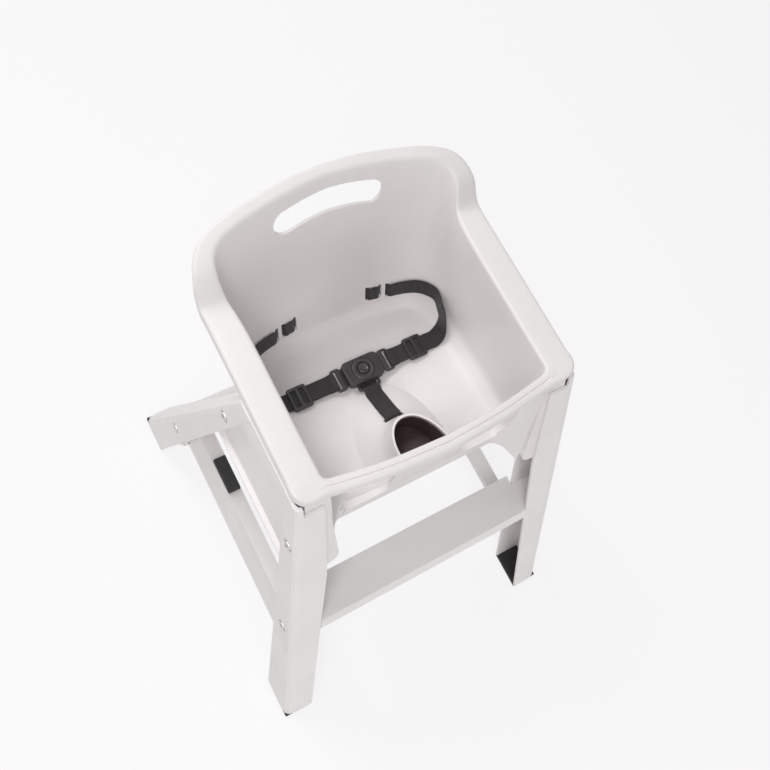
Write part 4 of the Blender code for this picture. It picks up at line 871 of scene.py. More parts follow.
def mirrored_cap(start, count):
    """Faces across an outline whose last points mirror its first ones."""
    faces = []
    for index in range((count - 1) // 2):
        across = count - 1 - index
        face = [index, index + 1, across - 1, across]
        faces.append(tuple(start + corner for corner in dict.fromkeys(face)))
    return faces


def loft(name, sections):
    """A closed solid through sections with the same number of points, mirrored at their middle."""
    count = len(sections[0])
    points = [point for section in sections for point in section]
    faces = mirrored_cap(0, count)
    for level in range(len(sections) - 1):
        start = level * count
        for index in range(count):
            after = (index + 1) % count
            faces.append((start + index, start + after, start + count + after, start + count + index))
    faces += mirrored_cap((len(sections) - 1) * count, count)
    return solid_from(name, points, faces)


def solid_from(name, points, faces):
    """A closed solid whose faces point outwards."""
    mesh = mesh_from(name, points, faces)
    shape = bmesh.new()
    shape.from_mesh(mesh)
    bmesh.ops.recalc_face_normals(shape, faces=shape.faces)
    shape.to_mesh(mesh)
    shape.free()
    return object_from(name, mesh)


def mesh_of(name, shape):
    mesh = bpy.data.meshes.new(name)
    shape.to_mesh(mesh)
    shape.free()
    return mesh


def object_from(name, mesh):
    obj = bpy.data.objects.new(name, mesh)
    bpy.context.scene.collection.objects.link(obj)
    return obj


def take_up(obj):
    """Make one object the selected and active one."""
    deselect()
    obj.select_set(True)
    bpy.context.view_layer.objects.active = obj


def apply_all(obj):
    take_up(obj)
    for modifier in list(obj.modifiers):
        bpy.ops.object.modifier_apply(modifier=modifier.name)


def combine(obj, other, operation):
    """Join a closed solid to a piece, or cut it away, and remove the solid."""
    modifier = obj.modifiers.new("shape", "BOOLEAN")
    modifier.operation = operation
    modifier.solver = "MANIFOLD"
    modifier.object = other
    apply_all(obj)
    bpy.data.objects.remove(other, do_unlink=True)


def smooth(obj, degrees):
    take_up(obj)
    bpy.ops.object.shade_smooth_by_angle(angle=math.radians(degrees))


def pommel_outline(half, front, rear):
    """Places across and behind the arms' front corner, round the pommel from right to left."""
    right = [(half * across, front + (rear - front) * along) for across, along in POMMEL_OUTLINE_SHARES]
    return right + [(0.0, rear)] + [(-across, back) for across, back in reversed(right)]


def pommel_mouth_drop(back):
    return POMMEL_MOUTH_DROP + POMMEL_MOUTH_TILT * back


def finer(outline):
    """An outline with a point between each pair of its points."""
    keys = [Vector((across, back, 0.0)) for across, back in outline]
    return [(point.x, point.y) for point in through_keys(keys, POMMEL_STEPS)]


def pommel(upper):
    """The bell, from feet in the wall of the pan up to its mouth."""
    corners = [corner.co for corner in upper.vertices]
    tree = BVHTree.FromPolygons(corners, [face.vertices for face in upper.polygons])
    foot = finer(pommel_outline(POMMEL_FOOT_HALF, POMMEL_FRONT, POMMEL_FOOT_BACK))
    mouth = finer(pommel_outline(POMMEL_MOUTH_HALF, POMMEL_FRONT, POMMEL_MOUTH_BACK))
    down = Vector((0.0, 0.0, -1.0))
    low = []
    for across, back in foot:
        found = tree.ray_cast(Vector((abs(across), back_y(back), drop_z(POMMEL_LOOK_DROP))), down)[0]
        z = RIM_HEIGHT + WALL_FOOT_SHARES[0][2] * SEAT_DEPTH if found is None else found.z - TUB_WALL / 2
        low.append(Vector((across, back_y(back), z)))
    high = [Vector((across, back_y(back), drop_z(pommel_mouth_drop(back)))) for across, back in mouth]
    levels = [Vector((drawn, risen, 0.0)) for drawn, risen in POMMEL_LEVEL_SHARES]
    sections = []
    for share in through_keys(levels, POMMEL_STEPS):
        level = [start.lerp(end, share.x) for start, end in zip(low, high)]
        for place, start, end in zip(level, low, high):
            place.z = start.z + (end.z - start.z) * share.y
        sections.append(level)
    return loft("pommel", sections)


def pocket(name, inset, lower, raised):
    """A solid in the shape of the pocket behind the front rail, which opens at the pommel's mouth."""
    half = POMMEL_MOUTH_HALF - POMMEL_WALL - inset
    front = HOLLOW_FRONT + inset
    rear = POMMEL_MOUTH_BACK - POMMEL_WALL - inset
    slope = (HOLLOW_FLOOR_DROP - HOLLOW_FLOOR_FRONT_DROP) / (rear - front)
    floor = []
    top = []
    for across, back in finer(pommel_outline(half, front, rear)):
        drop = HOLLOW_FLOOR_FRONT_DROP + slope * (back - front) - raised
        floor.append(Vector((across, back_y(back), drop_z(drop))))
        top.append(Vector((across, back_y(back), drop_z(pommel_mouth_drop(back) + lower))))
    return loft(name, [floor, top])


def wall_line(drop):
    """The tub's inner face at a drop, as points from the front rail to the middle of the back."""
    inner = ring(INNER_EDGE_SHARES, ARM_INNER_HALF, BACK_RISE)
    foot = ring(WALL_FOOT_SHARES, ARM_INNER_HALF, SEAT_DEPTH)
    z = drop_z(drop)
    return [start.lerp(end, (start.z - z) / (start.z - end.z)) for start, end in zip(inner, foot)]


def wall_position(out, drop):
    """Where the back wall passes a distance out from the middle, counted in points of the wall line."""
    line = wall_line(drop)
    for index in reversed(range(len(line) - 1)):
        near, far = line[index], line[index + 1]
        if near.x >= out:
            return index + (near.x - out) / (near.x - far.x)
    raise ValueError("the strap slots lie beyond the back wall")


def wall_place(position, drop):
    """A place on the inner face of the wall, with the directions up the wall and out of the tub."""
    line = wall_line(drop)
    above = wall_line(drop - WALL_LOOK_RISE)
    index = min(int(position), len(line) - 2)
    share = position - index
    place = line[index].lerp(line[index + 1], share)
    up = (above[index].lerp(above[index + 1], share) - place).normalized()
    outward = (line[index + 1] - line[index]).cross(up).normalized()
    return place, up, outward


def front_wall_back(out, drop):
    """How far back the front wall stands at a distance out from the middle."""
    line = wall_line(drop)
    for near, far in zip(line, line[1:]):
        if near.x <= out <= far.x:
            return near.lerp(far, (out - near.x) / (far.x - near.x)).y - TUB_FRONT
    raise ValueError("the skirt is wider than the front wall")


def skirt():
    """A band under the front rail: straight in front, and as deep as the bowed wall behind it."""
    front = back_y(-SKIRT_FRONT - TUB_WALL / 2)
    foot_drop = -WALL_FOOT_SHARES[0][2] * SEAT_DEPTH
    sections = []
    for step in range(-SKIRT_STEPS, SKIRT_STEPS + 1):
        x = SKIRT_HALF * step / SKIRT_STEPS
        rear = back_y(front_wall_back(abs(x), foot_drop)) - TUB_WALL / 2
        corners = (
            (front, SKIRT_TOP_DROP), (front, SKIRT_FOOT_DROP), (rear, SKIRT_FOOT_DROP),
            (rear, SKIRT_TOP_DROP),
        )
        sections.append([Vector((x, y, drop_z(drop))) for y, drop in corners])
    return loft("skirt", sections)


def corner_wall(side):
    """The wall that flares from the skirt into the leg, in front of the lobe."""
    lines = []
    edges = ((CORNER_TOP_SHARES, CORNER_WALL_TOP_DROP), (CORNER_FOOT_SHARES, SKIRT_FOOT_DROP))
    for shares, drop in edges:
        keys = [
            Vector((side * across * ARM_INNER_HALF, back_y(along * TUB_LENGTH), drop_z(drop)))
            for across, along in shares
        ]
        lines.append(through_keys(keys, RING_STEPS))
    straight = Vector((0.0, 2 * TUB_WALL, 0.0))
    turned_in = Vector((side * TUB_WALL, TUB_WALL / 2, 0.0))
    sections = []
    for index, (top, foot) in enumerate(zip(*lines)):
        inward = straight.lerp(turned_in, clamped(index / RING_STEPS - CORNER_TURN_START))
        sections.append([top, foot, foot + inward, top + inward])
    return loft("corner_wall", sections)


def leg_out(drop):
    """The legs' outer face, out from the middle."""
    return ARM_OUTER_HALF + LEG_SPLAY * drop


def leg_depth(drop):
    """A leg from its front face to its rear one."""
    return LEG_DEPTH_TOP + LEG_DEPTH_RATE * (drop - LEG_TOP_DROP)


def leg_near(end, drop):
    """The front face of the front or the rear leg."""
    if end == "front":
        return back_y(FRONT_LEG_START - FRONT_RAKE * drop)
    return back_y(REAR_LEG_START + REAR_RAKE * drop)


def lobe(end, side):
    """The tongue of the tub that fills the top of a leg, with a rounded foot."""
    front = end == "front"
    rake = -FRONT_RAKE if front else REAR_RAKE
    foot = LOBE_FOOT_DROP if front else REAR_LOBE_FOOT_DROP
    shoulder = foot - LOBE_SHOULDER_SHARE * (foot - UPPER_BOLT_DROP)
    drops = [LOBE_TOP_DROP, LEG_TOP_DROP, LOBE_MIDDLE_DROP, UPPER_BOLT_DROP, shoulder]
    drops += [shoulder + (foot - shoulder) * share for share in LOBE_FOOT_SHARES]
    sections = []
    for drop in drops:
        share = (drop - LOBE_TOP_DROP) / (LOBE_FOOT_DROP - LOBE_TOP_DROP)
        root = LOBE_ROOT - LOBE_ROOT_DRAW * (share if front else 0.0)
        level = max(drop, LEG_TOP_DROP)
        lean = (drop - level) * rake
        near = leg_near(end, level) + LEG_WALL + LOBE_CLEARANCE + lean
        far = leg_near(end, level) + leg_depth(level) - LEG_WALL - LOBE_CLEARANCE + lean
        reach = leg_out(level) - LEG_WALL - LOBE_CLEARANCE - leg_depth(level) * LEG_ROUND_SHARE
        turn = max((drop - shoulder) / (foot - shoulder), 0.0)
        curve = 1.0 - math.sqrt(max(1.0 - turn**2, 0.0))
        width = reach - root
        root += width * LOBE_ROOT_ROUND_SHARE * curve
        reach -= width * LOBE_REACH_ROUND_SHARE * curve
        corners = ((root, near), (reach, near), (reach, far), (root, far))
        sections.append([Vector((side * x, y, drop_z(drop))) for x, y in corners])
    return loft("lobe", sections)


def rounded_outline(low, high, radius, steps):
    """A rounded rectangle in X and Z, from its low and high corners, mirrored at its middle height."""
    outline = []
    for across, up, start in ((1, 1, 0), (-1, 1, 90), (-1, -1, 180), (1, -1, 270)):
        centre_x = high[0] - radius if across > 0 else low[0] + radius
        centre_z = high[1] - radius if up > 0 else low[1] + radius
        for step in range(steps + 1):
            angle = math.radians(start + 90 * step / steps)
            outline.append((centre_x + radius * math.cos(angle), centre_z + radius * math.sin(angle)))
    return outline


def leg_opening(side):
    near, far = sorted((side * LEG_OPENING_INNER, side * LEG_OPENING_OUTER))
    low = (near, drop_z(LEG_OPENING_FOOT_DROP))
    high = (far, drop_z(LEG_OPENING_TOP_DROP))
    outline = rounded_outline(low, high, LEG_OPENING_ROUND, LEG_OPENING_STEPS)
    ends = (back_y(-SKIRT_FRONT - LEG_OPENING_OVERRUN), back_y(0.0))
    return loft("leg_opening", [[Vector((x, y, z)) for x, z in outline] for y in ends])


def back_face_y(drop):
    return back_y(TUB_LENGTH - BACK_RAKE * (BACK_RISE + drop))


def hand_slot():
    """A bent stadium through the top of the back."""
    radius = HAND_SLOT_HEIGHT / 2
    reach = HAND_SLOT_HALF_LENGTH - radius
    steps = HAND_SLOT_STEPS
    upper = []
    lower = []
    for step in range(-steps, steps + 1):
        share = step / steps
        z = RIM_HEIGHT + HAND_SLOT_RISE - HAND_SLOT_SAG * share**2
        upper.append((share * reach, z + radius))
        lower.append((share * reach, z - radius))
    end_z = RIM_HEIGHT + HAND_SLOT_RISE - HAND_SLOT_SAG
    turns = [math.radians(HAND_SLOT_END_TURN * (1 - 2 * step / steps)) for step in range(steps + 1)]
    right = [(reach + radius * math.cos(turn), end_z + radius * math.sin(turn)) for turn in turns]
    left = [(-reach - radius * math.cos(turn), end_z - radius * math.sin(turn)) for turn in turns]
    outline = upper + right + lower[::-1] + left
    middle_y = back_face_y(-HAND_SLOT_RISE)
    first = [Vector((x, middle_y - SLOT_REACH, z)) for x, z in outline]
    count = len(outline)
    points = first + [point + Vector((0.0, 2 * SLOT_REACH, 0.0)) for point in first]
    faces = [tuple(range(count)), tuple(range(2 * count - 1, count - 1, -1))]
    for index in range(count):
        after = (index + 1) % count
        faces.append((index, after, count + after, count + index))
    return solid_from("hand_slot", points, faces)


def stretch(corners, size, middle):
    """Give a unit cube its size and place."""
    for corner in corners:
        corner.co = Vector(middle) + Vector([part * extent for part, extent in zip(corner.co, size)])


def box(name, size, middle):
    shape = bmesh.new()
    bmesh.ops.create_cube(shape, size=1.0)
    stretch(shape.verts, size, middle)
    return object_from(name, mesh_of(name, shape))


def strap_slot(side, out):
    place, _, _ = wall_place(wall_position(out, STRAP_SLOT_DROP), STRAP_SLOT_DROP)
    middle = (side * out, place.y + TUB_WALL / 2, drop_z(STRAP_SLOT_DROP))
    return box("strap_slot", (STRAP_SLOT_WIDTH, SLOT_REACH, STRAP_SLOT_HEIGHT), middle)


def crotch_slot():
    size = (CROTCH_SLOT_WIDTH, CROTCH_SLOT_LENGTH, CROTCH_SLOT_REACH)
    return box("crotch_slot", size, (0.0, back_y(CROTCH_SLOT_BACK), drop_z(CROTCH_SLOT_DROP)))


def ribbon(name, path, wide, width, thickness):
    """A woven band with round selvedges: its middle line and the direction of its width at each
    point. Its UV map runs across and along it in metres."""
    shape = bmesh.new()
    map_layer = shape.loops.layers.uv.new("weave")
    edge = WEBBING_EDGE_SHARES
    outline = list(edge) + [(-out, -up) for out, up in edge[1:-1]]
    rings = []
    runs = []
    run = 0.0
    for index, (point, across) in enumerate(zip(path, wide)):
        along = (path[min(index + 1, len(path) - 1)] - path[max(index - 1, 0)]).normalized()
        across = (across - along * across.dot(along)).normalized()
        up = across.cross(along).normalized()
        if index:
            run += (point - path[index - 1]).length
        runs.append(run)
        rings.append([
            shape.verts.new(point + across * (out * width / 2) + up * (high * thickness / 2))
            for out, high in outline
        ])
    count = len(outline)
    for level in range(len(rings) - 1):
        for index in range(count):
            after = (index + 1) % count
            places = ((index, level), (after, level), (after, level + 1), (index, level + 1))
            face = shape.faces.new([rings[row][column] for column, row in places])
            for loop, (column, row) in zip(face.loops, places):
                loop[map_layer].uv = (outline[column][0] * width / 2, runs[row])
    for end, row in ((rings[0][::-1], 0), (rings[-1], -1)):
        face = shape.faces.new(end)
        for loop in face.loops:
            loop[map_layer].uv = (0.0, runs[row])
    bmesh.ops.recalc_face_normals(shape, faces=shape.faces)
    obj = object_from(name, mesh_of(name, shape))
    smooth(obj, WEBBING_SMOOTH_ANGLE)
    return obj


def mirrored(side, vector):
    return Vector((side * vector.x, vector.y, vector.z))


def slot_run(side, thickness):
    """The strap's way in through the near slot, along the wall and out through the middle one, and
    back in through the far one."""
    off = thickness / 2 + STRAP_CLEARANCE
    outside, between, inside = TUB_WALL + off, TUB_WALL / 2, -off
    near, middle, far = STRAP_SLOTS
    places = (
        (near - STRAP_TAIL, outside), (near - STRAP_TURN, outside), (near, between),
        (near + STRAP_TURN, inside), ((near + middle) / 2, inside), (middle - STRAP_TURN, inside),
        (middle, between), (middle + STRAP_TURN, outside), (far - STRAP_TURN, outside), (far, between),
        (far + STRAP_END_TURN, inside * STRAP_END_SHARE),
    )
    keys = []
    for out, away in places:
        place, up, outward = wall_place(wall_position(out, STRAP_SLOT_DROP), STRAP_SLOT_DROP)
        outward.x = 0.0
        place += outward * (away / outward.length_squared)
        up.x = 0.0
        keys.append((mirrored(side, place), up))
    return keys


def waist_path(side, thickness):
    """From the slots round the side of the tub, through the slider and round the bar of the tongue."""
    keys = slot_run(side, thickness)
    for key, share in WAIST_WALL_SHARES:
        place, up, outward = wall_place(key * RING_STEPS, share * SEAT_DEPTH)
        keys.append((mirrored(side, place - outward * STRAP_STAND_OFF), mirrored(side, up)))
    upright = Vector((0.0, 0.0, 1.0))
    flat = Vector((0.0, -1.0, 0.0))
    for out, back, drop, lying in WAIST_FREE_SHARES:
        x, y, z = side * out * ARM_INNER_HALF, back_y(back * TUB_LENGTH), drop_z(drop * SEAT_DEPTH)
        keys.append((Vector((x, y, z)), upright.lerp(flat, lying)))
    for out, rise in WAIST_LEVEL_RUN:
        keys.append((buckle_place(side * out, rise), flat))
    path = through_keys([place for place, _ in keys], STRAP_STEPS)
    wide = []
    for (_, start), (_, end) in zip(keys, keys[1:]):
        wide += [start.lerp(end, step / STRAP_STEPS) for step in range(STRAP_STEPS)]
    wide.append(keys[-1][1])
    return path, wide


def buckle_place(out, rise):
    """A place on the line through the tongues, at a distance from the middle and a rise over it."""
    return Vector((out, back_y(BUCKLE_BACK), drop_z(TONGUE_MIDDLE_DROP) + rise))


def crotch_path(tub):
    """From the buckle's base along the ridge of the pommel and down through its slot."""
    places = list(CROTCH_START_RUN)
    for step in range(CROTCH_RIDGE_COUNT):
        back = CROTCH_RIDGE_BACK - CROTCH_RIDGE_STEP * step
        place = Vector((0.0, back_y(back), drop_z(CROTCH_LOOK_DROP)))
        found = tub.ray_cast(place, Vector((0.0, 0.0, -1.0)))
        places.append((back, min(RIM_HEIGHT - found[1].z - CROTCH_STAND_OFF, CROTCH_LOWEST_DROP)))
    last_drop = places[-1][1]
    places += [(back, last_drop + lower) for back, lower in CROTCH_TURN_RUN] + [CROTCH_END]
    keys = [Vector((0.0, back_y(back), drop_z(drop))) for back, drop in places]
    return through_keys(keys, CROTCH_STEPS)


def block(name, size, middle, corner=0.0, edge=0.0):
    """A box with rounded upright corners and softer rounds along its other edges."""
    deselect()
    bpy.ops.mesh.primitive_cube_add(size=1.0, location=(0.0, 0.0, 0.0))
    obj = bpy.context.object
    obj.name = name
    stretch(obj.data.vertices, size, middle)
    if corner:
        bevel_edges(obj, lambda start, end: abs((start - end).z) > size[2] / 2, corner, CORNER_SEGMENTS)
    if edge:
        bevel_edges(obj, lambda start, end: abs((start - end).z) < size[2] / 4, edge, EDGE_SEGMENTS, True)
    return obj


def bevel_edges(obj, chosen, width, segments, sharp=False):
    """Bevel the edges that a test of their two ends picks, or only the sharp ones of them."""
    take_up(obj)
    bpy.ops.object.mode_set(mode="EDIT")
    bpy.ops.mesh.select_mode(type="EDGE")
    bpy.ops.mesh.select_all(action="DESELECT")
    shape = bmesh.from_edit_mesh(obj.data)
    for edge in shape.edges:
        picked = chosen(edge.verts[0].co, edge.verts[1].co)
        if sharp and edge.is_manifold:
            picked = picked and edge.calc_face_angle() > SHARP_EDGE_ANGLE
        edge.select_set(picked)
    bmesh.update_edit_mesh(obj.data)
    bpy.ops.mesh.bevel(offset=width, segments=segments, affect="EDGES", profile=0.5)
    bpy.ops.object.mode_set(mode="OBJECT")


def cut_block(obj, size, middle, corner=0.0):
    combine(obj, block("opening", size, middle, corner), "DIFFERENCE")


def pin_profile(radius, low, high):
    return [(0.0, low), (radius, low), (radius, high), (0.0, high)]


def turned(name, profile, middle, sides):
    """A solid turned about a vertical axis from a profile of radii and heights that starts and ends
    on the axis."""
    shape = bmesh.new()
    corners = [shape.verts.new((radius, 0.0, height)) for radius, height in profile]
    for pair in zip(corners, corners[1:]):
        shape.edges.new(pair)
    obj = object_from(name, mesh_of(name, shape))
    take_up(obj)
    bpy.ops.object.mode_set(mode="EDIT")
    bpy.ops.mesh.select_all(action="SELECT")
    bpy.ops.mesh.spin(steps=sides, angle=2 * math.pi, center=(0.0, 0.0, 0.0), axis=(0.0, 0.0, 1.0))
    bpy.ops.mesh.select_all(action="SELECT")
    bpy.ops.mesh.remove_doubles(threshold=TURNED_MERGE_DISTANCE)
    bpy.ops.mesh.normals_make_consistent(inside=False)
    bpy.ops.object.mode_set(mode="OBJECT")
    for point in obj.data.vertices:
        point.co += Vector(middle)
    smooth(obj, TURNED_SMOOTH_ANGLE)
    return obj


class HIGHCHAIR_OT_stage(bpy.types.Operator):
    """Make the floor, the lights, the sky and the camera"""

    bl_idname = "high_chair.stage"
    bl_label = "Stage"

    def execute(self, context):
        settings = context.scene.high_chair_stage
        deselect()
        bpy.ops.mesh.primitive_plane_add(size=settings.floor_size, location=(0.0, 0.0, 0.0))
        floor = context.object
        floor.name = "floor"
        floor.data.materials.append(self.floor_material(settings))
        self.sky(context, settings)
        for name, place, aim, size, power in SOFTBOXES:
            self.softbox(context, name, place, aim, size, getattr(settings, power))
        self.camera(context, settings)
        context.scene.view_settings.view_transform = "Standard"
        return {"FINISHED"}

    def floor_material(self, settings):
        """White to the eye, with a share of its own shading so that the shadow shows."""
        finish = Finish("pale_floor")
        finish.feed("Base Color", (*settings.floor_colour, 1.0))
        finish.feed("Roughness", FLOOR_ROUGHNESS)
        glow = finish.node("ShaderNodeEmission", inputs={"Color": WARM_WHITE, "Strength": 1.0})
        shading = finish.first_output("Principled BSDF")
        finish.white_where_seen(shading, glow, settings.floor_glow, "Material Output")
        return finish.material

    def sky(self, context, settings):
        """Even light all round, which the eye sees as plain white."""
        world = bpy.data.worlds.new("studio")
        world.use_nodes = True
        context.scene.world = world
        nodes = Nodes(world.node_tree)
        soft = nodes.first_output("Background")
        nodes.fill(nodes.tree.nodes["Background"].inputs["Color"], SKY_COLOUR)
        nodes.fill(nodes.tree.nodes["Background"].inputs["Strength"], settings.sky_strength)
        white = nodes.node("ShaderNodeBackground", inputs={"Color": PLAIN_WHITE, "Strength": 1.0})
        nodes.white_where_seen(soft, white, 1.0, "World Output")

    def softbox(self, context, name, place, aim, size, power):
        light = bpy.data.lights.new(name, "AREA")
        light.shape = "DISK"
        light.size = size
        light.energy = power
        obj = bpy.data.objects.new(name, light)
        obj.location = place
        obj.rotation_euler = (Vector(aim) - Vector(place)).to_track_quat("-Z", "Y").to_euler()
        context.scene.collection.objects.link(obj)

    def camera(self, context, settings):
        data = bpy.data.cameras.new("camera")
        data.sensor_width = SENSOR_WIDTH
        data.lens = settings.lens
        camera = bpy.data.objects.new("camera", data)
        place = Vector(settings.camera_place)
        look = (Vector(settings.camera_aim) - place).to_track_quat("-Z", "Y").to_matrix()
        turn = look @ Matrix.Rotation(settings.camera_roll, 3, "Z")
        camera.matrix_world = Matrix.Translation(place) @ turn.to_4x4()
        context.scene.collection.objects.link(camera)
        context.scene.camera = camera


class HIGHCHAIR_OT_tub(bpy.types.Operator):
    """Make the smooth tub in place of its plain solid"""

    bl_idname = "high_chair.tub"
    bl_label = "Seat tub"

    def execute(self, context):
        plastic = context.scene.high_chair_plastic
        tub = self.tub(context.scene.high_chair_tub)
        # Painted shade: the tub's darker colours stand for the shade on its inner walls
        dress([tub], moulded_plastic(
            "tub_plastic", plastic.shaded_tub_colour, plastic.tub_shade, TUB_ROUGHNESS, plastic.grain,
        ))
        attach(tub, "chair")
        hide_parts("seat_shell")
        return {"FINISHED"}

    def tub(self, settings):
        """The wall of the tub with what is moulded to it, less its openings."""
        upper = strip_surface("upper_face", tub_rows(settings))
        tub = object_from("smooth_tub", upper.copy())
        mirror = tub.modifiers.new("both halves", "MIRROR")
        mirror.merge_threshold = MERGE_DISTANCE
        wall = tub.modifiers.new("wall", "SOLIDIFY")
        wall.thickness = TUB_WALL
        wall.offset = -1.0 if upper.polygons[-1].normal.z > 0.0 else 1.0
        wall.use_even_offset = True
        apply_all(tub)
        solids = [pommel(upper), skirt()]
        openings = [pocket("pommel_hollow", *HOLLOW_SIZES), hand_slot(), crotch_slot()]
        for side in (1, -1):
            solids += [corner_wall(side), lobe("front", side), lobe("rear", side)]
            openings.append(leg_opening(side))
            openings += [strap_slot(side, out) for out in STRAP_SLOTS]
        for solid in solids:
            combine(tub, solid, "UNION")
        for opening in openings:
            combine(tub, opening, "DIFFERENCE")
        smooth(tub, TUB_SMOOTH_ANGLE)
        return tub


class HIGHCHAIR_OT_painted_shade(bpy.types.Operator):
    """Make the dark sheet of painted shade in the pocket behind the front rail"""

    bl_idname = "high_chair.liner"
    bl_label = "Painted shade sheet"

    def execute(self, context):
        # Painted shade: a dark brown sheet where the pocket would only be deeply shaded
        liner = pocket("pocket_liner", *PAINTED_SHADE_OUTSIDE_SIZES)
        combine(liner, pocket("liner_inside", *PAINTED_SHADE_INSIDE_SIZES), "DIFFERENCE")
        smooth(liner, TUB_SMOOTH_ANGLE)
        dress([liner], dark_painted_shade("brown_liner", context.scene.high_chair_plastic.painted_shade_colour))
        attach(liner, "chair")
        return {"FINISHED"}


class HIGHCHAIR_OT_plastic(bpy.types.Operator):
    """Finish the side frames, the footrest, the crossbar and the rails"""

    bl_idname = "high_chair.plastic"
    bl_label = "Moulded plastic"

    def execute(self, context):
        settings = context.scene.high_chair_plastic
        rest = moulded_plastic(
            "frame_plastic", settings.frame_colour, settings.frame_shade, FRAME_ROUGHNESS, settings.grain,
        )
        dress(nodes_named("side_frame", "side_rail", "footrest", "rear_crossbar"), rest)
        return {"FINISHED"}


class HIGHCHAIR_OT_pads(bpy.types.Operator):
    """Finish the foot pads and the stacking pads"""

    bl_idname = "high_chair.pads"
    bl_label = "Rubber pads"

    def execute(self, context):
        settings = context.scene.high_chair_plastic
        dress(nodes_named("foot_pad", "stack_pad"), moulded_rubber("black_rubber", settings.rubber_colour))
        return {"FINISHED"}


def buckle_plastic(context):
    """The plastic that the sliders, the tongues and the buckle share, made once."""
    made = bpy.data.materials.get("buckle_plastic")
    colour = context.scene.high_chair_harness.buckle_colour
    return made or black_plastic("buckle_plastic", colour, BUCKLE_ROUGHNESS)


def finish_buckle_piece(obj, material, body, node=None):
    """Shade and dress a piece of the buckle's set, give it its body, and hide the node that it stands in
    for.
    """
    smooth(obj, PIECE_SMOOTH_ANGLE)
    dress([obj], material)
    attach(obj, body)
    if node:
        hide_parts(node)


class HIGHCHAIR_OT_straps(bpy.types.Operator):
    """Make the woven waist straps and the crotch strap"""

    bl_idname = "high_chair.straps"
    bl_label = "Straps"

    def execute(self, context):
        settings = context.scene.high_chair_harness
        woven = woven_webbing("black_webbing", settings.webbing_colour)
        for side in (1, -1):
            self.waist_strap(side, settings, woven)
        self.crotch_strap(settings, woven)
        return {"FINISHED"}

    def waist_strap(self, side, settings, woven):
        name = f"waist_strap_{side_name(side)}"
        path, wide = waist_path(side, settings.webbing_thickness)
        band = ribbon(f"woven_{name}", path, wide, settings.webbing_width, settings.webbing_thickness)
        dress([band], woven)
        y, z = back_y(BUCKLE_BACK), drop_z(TONGUE_MIDDLE_DROP)
        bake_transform(band)
        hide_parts(name)

    def crotch_strap(self, settings, woven):
        path = crotch_path(bpy.data.objects["smooth_tub"])
        wide = [Vector((1.0, 0.0, 0.0))] * len(path)
        band = ribbon("woven_crotch_strap", path, wide, settings.webbing_width, settings.webbing_thickness)
        dress([band], woven)
        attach(band, "chair")
        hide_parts("crotch_strap")


class HIGHCHAIR_OT_sliders(bpy.types.Operator):
    """Make the strap adjusters, with their bars and grip notches"""

    bl_idname = "high_chair.sliders"
    bl_label = "Sliders"

    def execute(self, context):
        for side in (1, -1):
            name = f"slider_{side_name(side)}"
            slider = self.slider(f"detailed_{name}", buckle_place(side * SLIDER_PLACES[side], 0.0))
            finish_buckle_piece(slider, buckle_plastic(context), name, name)
        return {"FINISHED"}

    def slider(self, name, middle):
        length, _, height = SLIDER_SIZE
        obj = block(name, SLIDER_SIZE, middle, SLIDER_CORNER, SLIDER_EDGE)
        cut_block(obj, SLIDER_TUNNEL, middle)
        window = (length - 3 * SLIDER_BAR) / 2
        for step in (-1, 1):
            place = middle + Vector((step * (window + SLIDER_BAR) / 2, 0.0, height / 2))
            cut_block(obj, (window, SLIDER_WINDOW_WIDTH, height), place, SLIDER_WINDOW_CORNER)
            for notch in (-1, 0, 1):
                out = step * (length / 2 - GRIP_INSET) + notch * GRIP_PITCH
                cut_block(obj, GRIP_SIZE, middle + Vector((out, 0.0, height / 2)))
        return obj


class HIGHCHAIR_OT_tongues(bpy.types.Operator):
    """Make the flat tongues, each with a wider outer end that is slotted for its strap"""

    bl_idname = "high_chair.tongues"
    bl_label = "Tongues"

    def execute(self, context):
        for side in (1, -1):
            name = f"tongue_{side_name(side)}"
            tongue = self.tongue(f"detailed_{name}", side)
            finish_buckle_piece(tongue, buckle_plastic(context), name, name)
        return {"FINISHED"}

    def tongue(self, name, side):
        inner = BUCKLE_LENGTH / 2 - TONGUE_REACH
        middle = buckle_place(side * (inner + TONGUE_PLATE[0] / 2), 0.0)
        plate = block(name, TONGUE_PLATE, middle, TONGUE_PLATE_CORNER, TONGUE_PLATE_EDGE)
        reach = BUCKLE_LENGTH / 2 + WING_GAP
        length = TONGUE_OUTER - reach
        middle = buckle_place(side * (reach + length / 2), 0.0)
        wing = block("wing", (length, WING_WIDTH, WING_HEIGHT), middle, WING_CORNER, WING_EDGE)
        combine(plate, wing, "UNION")
        middle = buckle_place(side * (TONGUE_OUTER - TONGUE_SLOT_INSET), 0.0)
        cut_block(plate, TONGUE_SLOT, middle, STRAP_OPENING_CORNER)
        return plate


